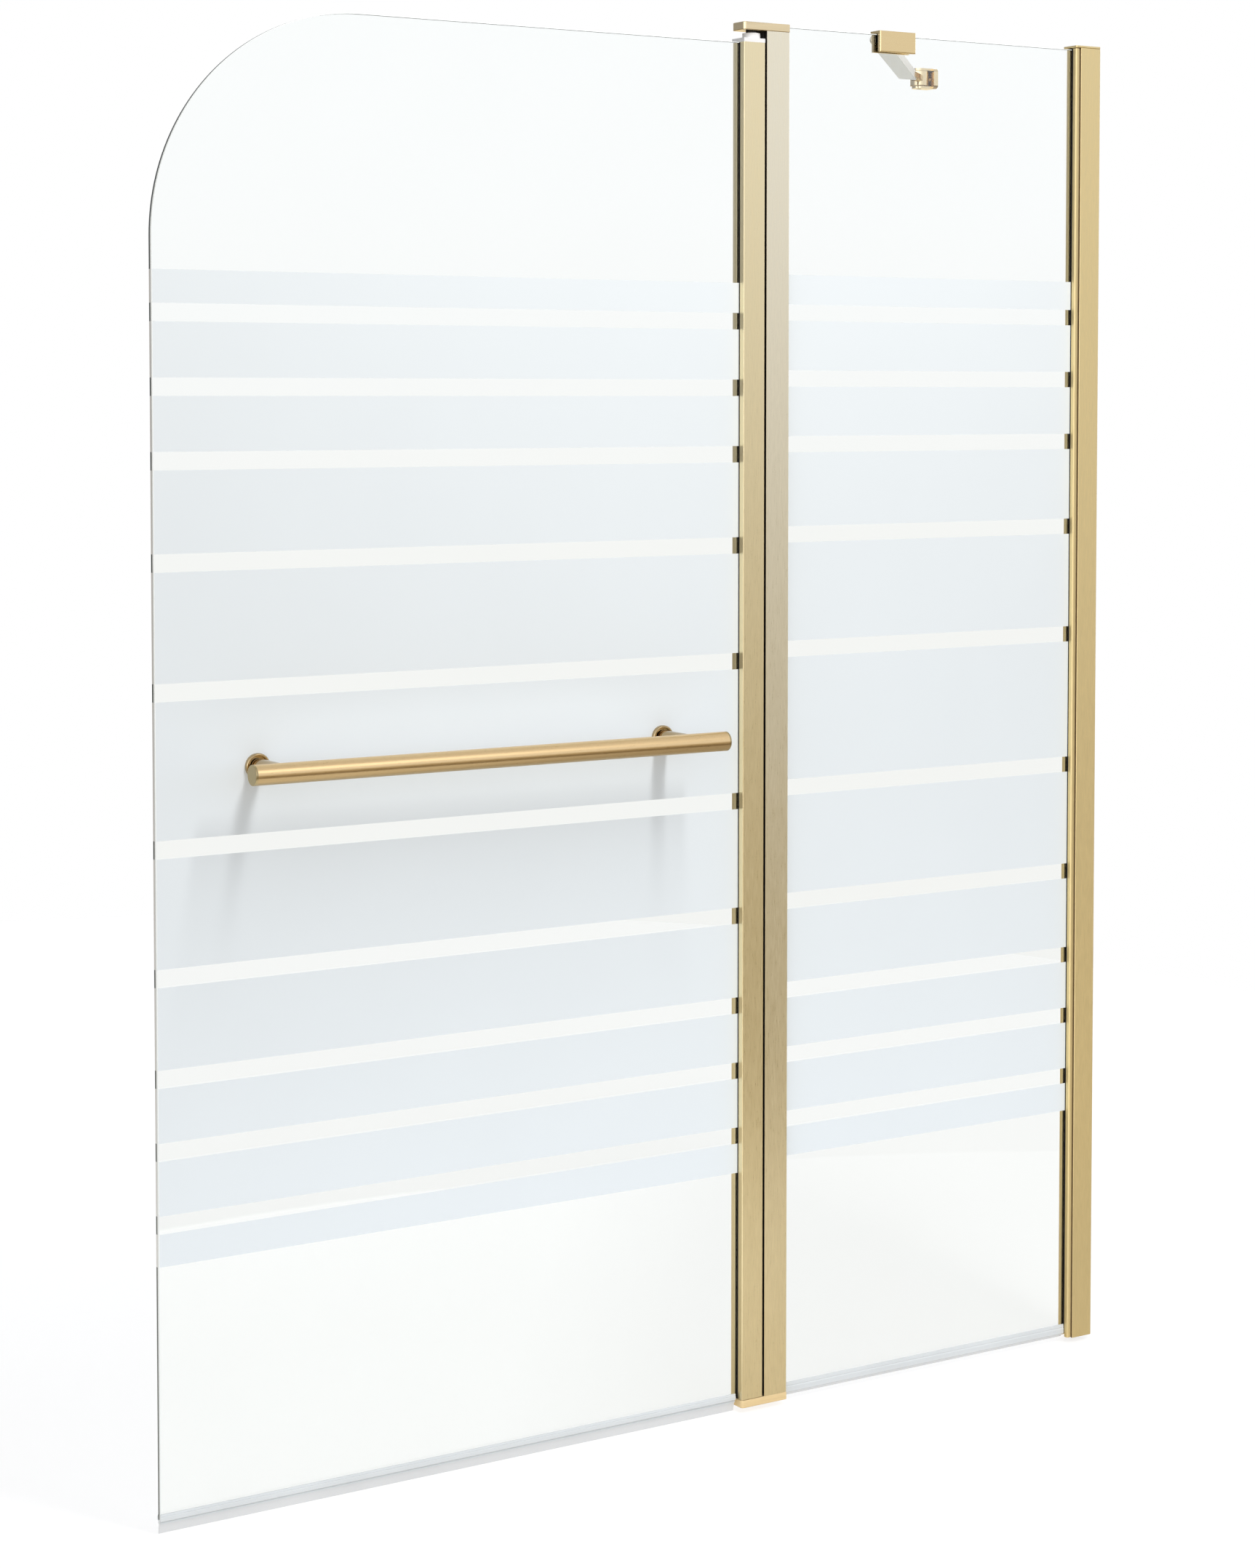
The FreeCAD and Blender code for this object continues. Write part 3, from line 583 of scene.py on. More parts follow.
def round_edges(bm, edges, width, segments):
    """Rounds edges by a width."""
    bmesh.ops.bevel(bm, geom=edges, offset=width, offset_type="OFFSET", segments=segments, profile=0.5,
                    affect="EDGES", material=-1, clamp_overlap=True)


def divide(bm, place, normal, take_beyond=False):
    """Divides the faces at a plane, or takes away what lies beyond it; gives the edges of the cut."""
    everything = bm.verts[:] + bm.edges[:] + bm.faces[:]
    cut = bmesh.ops.bisect_plane(bm, geom=everything, dist=SAME_PLACE, plane_co=place, plane_no=normal,
                                 clear_outer=take_beyond)["geom_cut"]
    return [item for item in cut if isinstance(item, bmesh.types.BMEdge)]


def end_face(bm, place, direction):
    """The largest flat face that lies at a place and looks in a direction."""
    faces = [face for face in bm.faces if face.normal.dot(direction) > FLAT
             and abs((face.calc_center_median() - place).dot(direction)) < SAME_PLACE]
    return max(faces, key=lambda face: face.calc_area())


def step_face(bm, face, inset, travel):
    """Draws a face in and moves it, as a step up or a recess."""
    bmesh.ops.inset_individual(bm, faces=[face], thickness=inset, use_even_offset=True)
    moved = bmesh.ops.extrude_discrete_faces(bm, faces=[face])["faces"][0]
    bmesh.ops.translate(bm, verts=moved.verts, vec=travel)


def turned_disc(bm, radius, foot, head, edge, segments, inset, depth, plug=False, steps=ROUND_STEPS):
    """A disc with its head's rim rounded, and with a recess in its head or a plug under its foot."""
    axis = (head - foot).normalized()
    made = rod(bm, radius, foot, head, steps)
    rims = edges_where(bm, lambda co: abs((co - head).dot(axis)) < SAME_PLACE)
    round_edges(bm, [rim for rim in rims if rim.verts[0] in made], edge, segments)
    bm.normal_update()
    face = end_face(bm, foot, -axis) if plug else end_face(bm, head, axis)
    step_face(bm, face, inset, axis * -depth)


def new_piece(name, bm, body, finishes, replaced=(), crease=35):
    """A finished mesh as a piece that moves with a body; edges bent by more than the crease stay sharp."""
    bmesh.ops.remove_doubles(bm, verts=bm.verts, dist=SAME_PLACE)
    bmesh.ops.recalc_face_normals(bm, faces=bm.faces)
    if bm.calc_volume(signed=True) < 0:
        bmesh.ops.reverse_faces(bm, faces=bm.faces)
    mesh = bpy.data.meshes.new(name)
    bm.to_mesh(mesh)
    bm.free()
    for finish in finishes:
        mesh.materials.append(finish)
    mesh.shade_smooth()
    mesh.set_sharp_from_angle(angle=math.radians(crease))
    piece = bpy.data.objects.new(name, mesh)
    bpy.context.scene.collection.objects.link(piece)
    flat_faces = piece.modifiers.new("flat_faces", "WEIGHTED_NORMAL")
    flat_faces.keep_sharp = True
    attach(piece, body)
    if replaced:
        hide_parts(*replaced)
    return piece


def drill(piece, places, radius, half_depth):
    """Round holes through a piece; the half depth is a vector from a hole's middle to its end."""
    bm = bmesh.new()
    for place in places:
        rod(bm, radius, place - half_depth, place + half_depth, HOLE_STEPS)
    mesh = bpy.data.meshes.new("drill")
    bm.to_mesh(mesh)
    bm.free()
    cutter = bpy.data.objects.new("drill", mesh)
    bpy.context.scene.collection.objects.link(cutter)
    cut = piece.modifiers.new("holes", "BOOLEAN")
    cut.operation = "DIFFERENCE"
    cut.solver = "EXACT"
    cut.object = cutter
    drilled = bpy.data.meshes.new_from_object(piece.evaluated_get(bpy.context.evaluated_depsgraph_get()))
    piece.modifiers.clear()
    piece.data = drilled
    bpy.data.objects.remove(cutter)


# Glass


def band_limits(top):
    """Upper and lower height of each frosted band, in the frame."""
    glass = settings("glass")
    limits = []
    upper = RIM + top
    for height in glass.band_heights:
        limits.append((upper, upper - height))
        upper -= height + glass.band_gap
    return limits


def pane(node, corner_radius, band_top, margin):
    """A pane with ground edges, a rounded corner and its front divided at the bands."""
    low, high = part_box(node)
    bands = band_limits(band_top)
    band_start = low.x + margin
    bm = bmesh.new()
    block(bm, low, high)
    if corner_radius:
        corner = edges_where(bm, lambda co: co.x - low.x < SAME_PLACE and high.z - co.z < SAME_PLACE)
        round_edges(bm, corner, corner_radius, segments=48)
    outline = edges_where(bm, lambda co: co.y - low.y < SAME_PLACE)
    outline += edges_where(bm, lambda co: high.y - co.y < SAME_PLACE)
    round_edges(bm, outline, settings("glass").arris, segments=2)
    for limits in bands:
        for height in limits:
            divide(bm, ALONG_Z * height, ALONG_Z)
    divide(bm, ALONG_X * band_start, ALONG_X)
    bm.normal_update()
    for face in bm.faces:
        middle = face.calc_center_median()
        banded = any(lower < middle.z < upper for upper, lower in bands)
        on_edge = abs(face.normal.y) < 0.95
        looks_down = face.normal.z < -0.3
        if on_edge and not looks_down:
            face.material_index = GROUND_BESIDE_BAND if banded else GROUND
        elif face.normal.y < 0 and banded and middle.x > band_start:
            face.material_index = FROSTED
    return bm


class BATHSCREEN_OT_panes(bpy.types.Operator):
    """Make the two panes with ground edges and frosted bands"""

    bl_idname = "bath_screen.panes"
    bl_label = "Panes"

    def execute(self, context):
        glass = settings("glass")
        finishes = (clear_glass(), frosting(), ground_edge("ground_edge", glass.edge_painted_shade),
                    ground_edge("band_edge_painted_shade", glass.band_edge_painted_shade))
        door_pane = pane("door_glass", glass.corner_radius, glass.door_band_top, glass.door_margin)
        door = new_piece("door_pane", door_pane, "door", finishes, ["door_glass"], crease=10)
        nuts = [box_middle("towel_back_cap_" + side) for side in ("left", "right")]
        holes = [Vector((nut.x, 0, nut.z)) for nut in nuts]
        drill(door, holes, glass.stud_hole, ALONG_Y * DRILL_REACH)
        fixed_pane = pane("fixed_glass", 0, glass.fixed_band_top, glass.fixed_margin)
        new_piece("fixed_pane", fixed_pane, "fixed_panel", finishes, ["fixed_glass"],
                  crease=10)
        return {"FINISHED"}


# Profiles and caps


def merged_copy(node):
    """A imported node's mesh with its triangles joined into flat faces."""
    bm = bmesh.new()
    bm.from_mesh(frame["nodes"][node].data)
    bmesh.ops.remove_doubles(bm, verts=bm.verts, dist=SAME_PLACE)
    bmesh.ops.dissolve_limit(bm, angle_limit=math.radians(1), verts=bm.verts, edges=bm.edges)
    return bm


def eased_extrusion(node):
    """A profile with its long outer edges eased."""
    bm = merged_copy(node)
    outer = [edge for edge in sharp_edges(bm.edges) if edge.is_convex and edge.calc_length() > LONG_EDGE]
    round_edges(bm, outer, settings("fitting").profile_edge, segments=3)
    return bm


def eased_lid(node, seat):
    """A cap with the rim of its lid eased where it sits on a profile."""
    bm = merged_copy(node)
    at_seat = edges_where(bm, lambda co: abs(co.z - seat) < SAME_PLACE)
    rim = [edge for edge in sharp_edges(at_seat) if edge.is_convex]
    round_edges(bm, rim, settings("fitting").lid_edge, segments=3)
    return bm


class BATHSCREEN_OT_profiles(bpy.types.Operator):
    """Finish the extruded profiles in brushed gold"""

    bl_idname = "bath_screen.profiles"
    bl_label = "Profiles"

    def execute(self, context):
        metal = settings("metal")
        # The hinge post is painted yellower below its middle and the wall profile painted browner near its
        # foot: painted reflections of the surroundings.
        post_painted_reflection = (metal.door_colour, 0.0, RIM + 0.05)
        wall_painted_reflection = (scaled(metal.wall_colour, 0.86), RIM + 0.35, RIM + 0.1)
        for node, body, colour, roughness, below in (
                ("door_profile", "door", metal.door_colour, (0.24, 0.42), None),
                ("hinge_post", "fixed_panel", metal.post_colour, (0.24, 0.42), post_painted_reflection),
                ("adjusting_profile", "fixed_panel", metal.wall_colour, (0.39, 0.57), None),
                ("wall_profile", "wall_mount", metal.wall_colour, (0.39, 0.57), wall_painted_reflection)):
            gold = brushed_metal("brushed_" + node, colour, BRUSHED_UPRIGHT, roughness, contrast=0.07,
                                 below=below)
            new_piece(node + "_eased", eased_extrusion(node), body, [gold], [node])
        return {"FINISHED"}


class BATHSCREEN_OT_caps(bpy.types.Operator):
    """Finish the caps on the profiles in satin gold"""

    bl_idname = "bath_screen.caps"
    bl_label = "Caps"

    def execute(self, context):
        metal = settings("metal")
        top = brushed_metal("satin_gold_top", metal.top_cap_colour, SATIN_CAP, (0.14, 0.24), contrast=0.06)
        bottom = brushed_metal("satin_gold_bottom", metal.bottom_cap_colour, SATIN_CAP, (0.3, 0.42),
                               contrast=0.06, metallic=0.5)
        side = brushed_metal("brushed_wall_cap", metal.wall_colour, BRUSHED_UPRIGHT, (0.39, 0.57),
                             contrast=0.07)
        post_low, post_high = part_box("hinge_post")
        wall_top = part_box("wall_profile")[1].z
        for node, seat, body, gold in (("wall_profile_cap", wall_top, "wall_mount", side),
                                       ("top_hinge_cap", post_high.z, "fixed_panel", top),
                                       ("bottom_hinge_cap", post_low.z, "fixed_panel", bottom)):
            new_piece(node + "_eased", eased_lid(node, seat), body, [gold], [node])
        return {"FINISHED"}


# Towel bar


def towel_tube(node):
    """The tube of the towel bar, open at both ends."""
    low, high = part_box(node)
    radius = (high.z - low.z) / 2
    place = Matrix.Translation((low + high) / 2) @ Matrix.Rotation(math.pi / 2, 4, "Y")
    bm = bmesh.new()
    bmesh.ops.create_cone(bm, cap_ends=False, segments=ROUND_STEPS, radius1=radius, radius2=radius,
                          depth=high.x - low.x, matrix=place)
    bmesh.ops.recalc_face_normals(bm, faces=bm.faces)
    bmesh.ops.solidify(bm, geom=bm.faces[:], thickness=settings("fitting").tube_wall)
    return bm


def end_cap(node, side):
    """Flat lid with a rounded rim and a plug in the tube."""
    fitting = settings("fitting")
    low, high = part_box(node)
    middle = (low + high) / 2
    outer = Vector((low.x if side < 0 else high.x, middle.y, middle.z))
    seat = outer - ALONG_X * side * fitting.cap_lid
    bm = bmesh.new()
    turned_disc(bm, (high.z - low.z) / 2, seat, outer, fitting.cap_edge, segments=3,
                inset=fitting.plug_inset, depth=fitting.plug_length, plug=True)
    return bm


def round_foot(node, head_in_front, edge, inset, depth):
    """Disc on the glass with a rounded rim and a recess in its head, in front of the glass or behind it."""
    low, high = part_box(node)
    middle = (low + high) / 2
    foot_y, head_y = (high.y, low.y) if head_in_front else (low.y, high.y)
    bm = bmesh.new()
    turned_disc(bm, (high.z - low.z) / 2, Vector((middle.x, foot_y, middle.z)),
                Vector((middle.x, head_y, middle.z)), edge, segments=5, inset=inset, depth=depth)
    return bm


class BATHSCREEN_OT_towel_bar(bpy.types.Operator):
    """Make the towel bar's tube, end caps, rosettes and back nuts"""

    bl_idname = "bath_screen.towel_bar"
    bl_label = "Towel Bar"

    def execute(self, context):
        metal = settings("metal")
        fitting = settings("fitting")
        axis_height = box_middle("towel_bar").z
        # The lower half of the tube is painted darker: painted shade on its underside.
        shade = (scaled(metal.fitting_colour, 0.62), axis_height, axis_height - 0.004)
        satin = brushed_metal("satin_gold_tube", metal.fitting_colour, BRUSHED_TUBE, (0.25, 0.36),
                              contrast=0.05, height=0.05, below=shade)
        turned = brushed_metal("turned_gold", metal.turned_colour, TURNED, (0.08, 0.16), contrast=0.05,
                               height=0.03)
        matt = brushed_metal("matt_gold", metal.end_cap_colour, MATT, (0.3, 0.42), contrast=0.08,
                             height=0.05)
        new_piece("towel_tube", towel_tube("towel_bar"), "door", [satin], ["towel_bar"])
        for word, side in (("left", -1), ("right", 1)):
            cap = end_cap("towel_end_cap_" + word, side)
            rosette = round_foot("towel_rosette_" + word, True, fitting.rosette_edge, fitting.rosette_rim,
                                 fitting.groove_depth)
            nut = round_foot("towel_back_cap_" + word, False, fitting.nut_edge, fitting.nut_rim,
                             fitting.nut_dish)
            for part, bm, gold in (("end_cap", cap, matt), ("rosette", rosette, turned),
                                   ("back_cap", nut, turned)):
                node = f"towel_{part}_{word}"
                new_piece(f"{part}_{word}_turned", bm, "door", [gold], [node])
            dress(["towel_post_" + word], turned)
        return {"FINISHED"}


# Support arm


def clamp_screw_heads(node):
    """Two domed screw heads with a socket, on their shanks."""
    fitting = settings("fitting")
    low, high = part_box(node)
    bm = bmesh.new()
    for x in (low.x + fitting.screw_radius, high.x - fitting.screw_radius):
        middle = Vector((x, 0, (low.z + high.z) / 2))
        seat = middle + ALONG_Y * (high.y - fitting.screw_head)
        turned_disc(bm, fitting.screw_radius, seat, middle + ALONG_Y * high.y, fitting.screw_dome,
                    segments=6, inset=fitting.socket_rim, depth=fitting.socket_depth, steps=SCREW_STEPS)
        rod(bm, fitting.shank_radius, middle + ALONG_Y * low.y, seat, SHANK_STEPS)
    return bm


def flat_bar(start, end, half_width, thickness):
    """Flat bar with round ends and rounded long edges, between two points."""
    run = end - start
    size = Vector((run.length + 2 * half_width, 2 * half_width, thickness))
    bm = bmesh.new()
    block(bm, size / -2, size / 2)
    # A little less than half of the width leaves a short flat, so that the round end stays clean.
    round_edges(bm, edges_along(bm.edges, ALONG_Z), half_width * 0.999, segments=16)
    rims = edges_where(bm, lambda co: size.z / 2 - abs(co.z) < SAME_PLACE)
    round_edges(bm, sharp_edges(rims), settings("fitting").bar_edge, segments=3)
    place = Matrix.Translation((start + end) / 2) @ Matrix.Rotation(math.atan2(run.y, run.x), 4, "Z")
    bmesh.ops.transform(bm, matrix=place, verts=bm.verts)
    return bm


def support_bar(start, end, mitre, thickness):
    """Flat bar cut off square to the glass, with its underside painted paler as painted light and its top
    and sides painted darker as painted shade.
    """
    bm = flat_bar(start, end, settings("fitting").bar_half_width, thickness)
    bmesh.ops.edgeloop_fill(bm, edges=divide(bm, mitre, ALONG_Y, take_beyond=True))
    bm.normal_update()
    for face in bm.faces:
        face.material_index = PAINTED_LIGHT_UNDERSIDE if face.normal.z < -0.7 else PAINTED_SHADE_SIDES
    return bm


def fork_bracket(node, pin):
    """Wall plate with rounded corners and two round ears, in one body."""
    fitting = settings("fitting")
    low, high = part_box(node)
    plate_front = high.x - fitting.plate_thickness
    ear_end = pin.x - fitting.ear_radius
    bm = bmesh.new()
    block(bm, Vector((plate_front, low.y, low.z)), high)
    round_edges(bm, edges_along(bm.edges, ALONG_X), fitting.plate_corner, segments=6)
    for side in (-1, 1):
        divide(bm, ALONG_Y * (pin.y + side * fitting.ear_radius), ALONG_Y)
    for height in (low.z + fitting.ear_thickness, high.z - fitting.ear_thickness):
        divide(bm, ALONG_Z * height, ALONG_Z)
    bm.normal_update()
    between_ears = (high.z - low.z) / 2 - fitting.ear_thickness
    roots = []
    for face in bm.faces:
        from_pin = face.calc_center_median() - pin
        if (face.normal.x < -FLAT and abs(from_pin.y) < fitting.ear_radius
                and abs(from_pin.z) > between_ears):
            roots.append(face)
    for face in bmesh.ops.extrude_discrete_faces(bm, faces=roots)["faces"]:
        bmesh.ops.translate(bm, verts=face.verts, vec=(ear_end - plate_front, 0, 0))
    tips = edges_along(edges_where(bm, lambda co: co.x - ear_end < SAME_PLACE), ALONG_Z)
    # A little less than half of the ear's width leaves a short flat at its tip.
    round_edges(bm, tips, fitting.ear_radius * 0.98, segments=10)
    round_edges(bm, sharp_edges(bm.edges), fitting.bracket_edge, segments=3)
    return bm


def knuckle(node, pin):
    """Round knuckle about the pin, with a running gap to the ears above and below it."""
    fitting = settings("fitting")
    low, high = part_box(node)
    gap = fitting.ear_thickness + fitting.knuckle_gap
    foot = Vector((pin.x, pin.y, low.z + gap))
    head = Vector((pin.x, pin.y, high.z - gap))
    bm = bmesh.new()
    rod(bm, fitting.knuckle_radius, foot, head)
    rims = edges_where(bm, lambda co: co.z - foot.z < SAME_PLACE)
    rims += edges_where(bm, lambda co: head.z - co.z < SAME_PLACE)
    round_edges(bm, rims, fitting.bracket_edge, segments=3)
    return bm


class BATHSCREEN_OT_arm(bpy.types.Operator):
    """Make the support bar, the wall bracket and the clamp's screws, and finish the clamp"""

    bl_idname = "bath_screen.arm"
    bl_label = "Support Arm"

    def execute(self, context):
        metal = settings("metal")
        fitting = settings("fitting")
        satin = brushed_metal("satin_gold_clamp", metal.clamp_colour, SATIN_CLAMP, (0.2, 0.32),
                              contrast=0.05)
        bright = polished_metal("polished_gold", metal.bracket_colour, (0.06, 0.12), metallic=0.92)
        # One satin silver, in a painted-light copy for the underside and a painted-shade copy for the top
        # and sides.
        silver = brushed_metal("satin_silver", metal.bar_underside_painted_light, SATIN_BAR, (0.3, 0.45), contrast=0.04,
                               height=0.06, metallic=0.1)
        silver_painted_shade = brushed_metal("satin_silver_painted_shade", metal.bar_sides_painted_shade, SATIN_BAR, (0.6, 0.75),
                                    contrast=0.04, height=0.06, metallic=0.1)
        pale = brushed_metal("pale_screws", metal.screw_colour, SCREW_POLISH, (0.08, 0.16), contrast=0.04,
                             height=0.03, metallic=0.3)
        dress(["arm_clamp"], satin)
        new_piece("clamp_screw_heads", clamp_screw_heads("arm_clamp_screws"), "fixed_panel",
                  [pale], ["arm_clamp_screws"])
        start = joint_place("arm_swing")
        pin = joint_place("bracket_swing")
        beside = pin - ALONG_X * fitting.bar_offset
        mitre = pin - ALONG_Y * fitting.mitre_distance
        low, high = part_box("support_bar")
        thickness = high.z - low.z
        new_piece("flat_support_bar", support_bar(start, beside, mitre, thickness), "support_arm",
                  [silver, silver_painted_shade], ["support_bar"])
        root = beside.lerp(start, fitting.neck_root) + ALONG_X * fitting.neck_shift
        neck = flat_bar(root, pin, fitting.neck_half_width, thickness * fitting.neck_thickness)
        new_piece("support_bar_eye", neck, "support_arm", [bright])
        new_piece("support_bar_knuckle", knuckle("wall_bracket", pin), "support_arm",
                  [bright])
        bracket = new_piece("fork_bracket", fork_bracket("wall_bracket", pin), "arm_wall_bracket",
                            [bright], ["wall_bracket"])
        plate_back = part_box("wall_bracket")[1].x
        hole = Vector((plate_back - fitting.plate_thickness / 2, pin.y, box_middle("wall_bracket").z))
        drill(bracket, [hole], fitting.plate_hole, ALONG_X * fitting.plate_thickness)
        return {"FINISHED"}


# Rubber and plastic


def hinge_gap_shade_strips(node, pivot):
    """Two thin curved dark strips on the hollow side of the hinge gap, one each side of the rubber strip:
    painted shade in the gap.
    """
    soft = settings("soft")
    low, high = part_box(node)
    bm = bmesh.new()
    for side in (-1, 1):
        turn = Matrix.Rotation(soft.shade_strip_start * side, 3, "Z")
        start = pivot + turn @ Vector((soft.shade_strip_radius, 0, 0))
        ends = [bm.verts.new((start.x, start.y, z)) for z in (low.z, high.z)]
        line = bm.edges.new(ends)
        bmesh.ops.spin(bm, geom=[*ends, line], cent=pivot, axis=ALONG_Z, angle=soft.shade_strip_sweep * side,
                       steps=10)
    bmesh.ops.recalc_face_normals(bm, faces=bm.faces)
    bmesh.ops.solidify(bm, geom=bm.faces[:], thickness=soft.shade_strip_thickness)
    return bm


def slide_gap_shade_strips(node, inner):
    """Thin dark strips in the gap between the wall profile and the profile that slides in it: painted shade
    in the gap.
    """
    half = settings("soft").shade_strip_thickness
    low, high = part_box(node)
    inner_low, inner_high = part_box(inner)
    bm = bmesh.new()
    for start, end in ((low.y, inner_low.y), (high.y, inner_high.y)):
        near, far = sorted(start + (end - start) * share for share in (0.35, 0.97))
        block(bm, Vector((low.x - half, near, low.z)), Vector((low.x + half, far, high.z)))
    return bm


class BATHSCREEN_OT_gaskets(bpy.types.Operator):
    """Finish the gaskets, the hinge strip and the clamp's pad in black rubber, and put dark strips of
    painted shade in the gaps
    """

    bl_idname = "bath_screen.gaskets"
    bl_label = "Gaskets"

    def execute(self, context):
        soft = settings("soft")
        rubber = moulded("black_rubber", soft.rubber_colour, (0.5, 0.75), height=0.2)
        # Dark brown strips of painted shade go in the slide gap, and black ones in the hinge gap.
        brown = moulded("brown_gap_shade", soft.slide_shade_colour, (0.5, 0.75), height=0.2)
        dress(("adjusting_gasket", "post_gasket", "door_gasket", "hinge_seal_strip", "arm_clamp_pad"),
              rubber)
        hinge_gap = hinge_gap_shade_strips("hinge_seal_strip", joint_place("door_swing"))
        new_piece("hinge_gap_shade_strip", hinge_gap, "fixed_panel", [rubber])
        slide_gap = slide_gap_shade_strips("wall_profile", "adjusting_profile")
        new_piece("slide_gap_shade_strip", slide_gap, "wall_mount", [brown])
        return {"FINISHED"}


def seal_section(top, glass_bottom, bottom):
    """Half outline of a seal carrier, as pairs of distance from the glass's middle and height."""
    soft = settings("soft")
    half_width = soft.seal_half_width
    leg = top - glass_bottom
    outline = [(soft.seal_slot, top), (soft.seal_slot + 0.0004, top)]
    outline += [(half_width - depth, glass_bottom + leg * share)
                for depth, share in ((0.0003, 0.66), (0.0006, 0.58), (0, 0.46))]
    outline += [(half_width, glass_bottom - 0.0004), (half_width - 0.0007, glass_bottom - 0.0012)]
    has_stem = glass_bottom - bottom > 0.002
    if has_stem:
        outline += [(0.0018, glass_bottom - 0.0014), (0.0017, glass_bottom - 0.0019),
                    (0.0022, glass_bottom - 0.0024), (0.0022, bottom + 0.0004)]
    return outline + [(0.0012, bottom)]


def seal_carrier(node, glass_node):
    """Channel with thin leg tips, a groove along each leg and a bead on the stem."""
    soft = settings("soft")
    low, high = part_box(node)
    glass_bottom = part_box(glass_node)[0].z
    half = seal_section(high.z, glass_bottom, low.z)
    front = [(-across, height) for across, height in half]
    back = [(across, min(height, high.z - soft.short_leg)) for across, height in half]
    around = front + back[::-1] + [(soft.seal_slot, glass_bottom), (-soft.seal_slot, glass_bottom)]
    bm = bmesh.new()
    section = bm.faces.new([bm.verts.new((low.x, across, height)) for across, height in around])
    grown = bmesh.ops.extrude_face_region(bm, geom=[section], use_keep_orig=True)["geom"]
    moved = [item for item in grown if isinstance(item, bmesh.types.BMVert)]
    bmesh.ops.translate(bm, verts=moved, vec=(high.x - low.x, 0, 0))
    return bm


class BATHSCREEN_OT_seals(bpy.types.Operator):
    """Finish the seals under the panes in clear and milky plastic"""

    bl_idname = "bath_screen.seals"
    bl_label = "Bottom Seals"

    def execute(self, context):
        soft = settings("soft")
        clear = moulded("clear_plastic", soft.carrier_colour, (0.15, 0.25), height=0.02,
                        Transmission_Weight=0.15, IOR=1.45)
        milky = moulded("milky_lip", soft.lip_colour, (0.3, 0.45), height=0.05, IOR=1.4)
        for word, body in (("door", "door"), ("fixed", "fixed_panel")):
            node = word + "_seal_carrier"
            new_piece(node + "_ribbed", seal_carrier(node, word + "_glass"), body, [clear],
                      [node], crease=25)
        dress(("door_seal_lip", "fixed_seal_lip"), milky)
        return {"FINISHED"}


class BATHSCREEN_OT_pivots(bpy.types.Operator):
    """Finish the bushes, washers and pins"""

    bl_idname = "bath_screen.pivots"
    bl_label = "Pivots"

    def execute(self, context):
        soft = settings("soft")
        white = moulded("white_plastic", soft.bush_colour, (0.3, 0.42), height=0.05)
        black = moulded("black_plastic", soft.rubber_colour, (0.35, 0.5), height=0.05)
        steel = polished_metal("plain_steel", settings("metal").steel_colour, (0.18, 0.3))
        dress(("top_pivot_bush", "bottom_pivot_bush"), white)
        dress(["bottom_washer"], black)
        dress(("top_pivot_pin", "bottom_pivot_pin", "arm_clamp_pin", "wall_bracket_pin"), steel)
        # The washer under the top cap is a real part, made black so that it also stands in for the shade
        # under the cap: partly painted shade.
        low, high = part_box("top_washer")
        middle = (low + high) / 2
        foot = Vector((middle.x, middle.y, low.z))
        bm = bmesh.new()
        rod(bm, settings("fitting").washer_radius, foot, foot + ALONG_Z * (high.z - low.z))
        new_piece("top_washer_slim", bm, "fixed_panel", [black], ["top_washer"])
        return {"FINISHED"}


# Stage


def lit_floor():
    """Pale floor that glows as if lit from below; in reflections it is painted dim and warm, and painted
    brighter towards the near left.
    """
    stage = settings("stage")
    made, tree, shader = new_material("pale_floor", Base_Color=stage.floor_colour, Roughness=0.7,
                                      Emission_Strength=stage.floor_glow)
    path = tree.nodes.new("ShaderNodeLightPath").outputs
    # Only in reflections, the floor is painted brighter towards the near left: a painted reflection that
    # shows as highlights on the profiles' front edges.
    left = spread(tree, reach(tree, object_place(tree), NEAR_LEFT), (0.42, 0.62))
    straight = blended(tree, path["Is Diffuse Ray"], (1, 1, 1), (0.8, 0.8, 0.8))
    mirrored = blended(tree, left, (0.55, 0.46, 0.3), (1.3, 1.25, 1.1))
    glow = blended(tree, spread(tree, path["Glossy Depth"], (0.0, 1.0)), straight, mirrored)
    feed_inputs(tree, shader, Emission_Color=glow)
    return made


def make_floor():
    """Round floor under the screen, further back than the glass."""
    stage = settings("stage")
    middle = (cad_box[0] + cad_box[1]) / 2
    place = Matrix.Translation((middle.x, stage.floor_back, cad_box[0].z - stage.floor_drop))
    bm = bmesh.new()
    bmesh.ops.create_circle(bm, cap_ends=True, segments=128, radius=stage.floor_radius, matrix=place)
    mesh = bpy.data.meshes.new("floor")
    bm.to_mesh(mesh)
    bm.free()
    floor = bpy.data.objects.new("floor", mesh)
    mesh.materials.append(lit_floor())
    bpy.context.scene.collection.objects.link(floor)


def soft_light(name, place, target, width, height, power, mirrored):
    """A large soft light turned to a target; it is seen either in reflections or on matt surfaces."""
    data = bpy.data.lights.new(name, "AREA")
    data.shape = "RECTANGLE"
    data.size = width
    data.size_y = height
    data.energy = power
    light = bpy.data.objects.new(name, data)
    light.location = place
    light.rotation_euler = (target - place).to_track_quat("-Z", "Y").to_euler()
    light.visible_glossy = mirrored
    light.visible_diffuse = not mirrored
    bpy.context.scene.collection.objects.link(light)
    return light


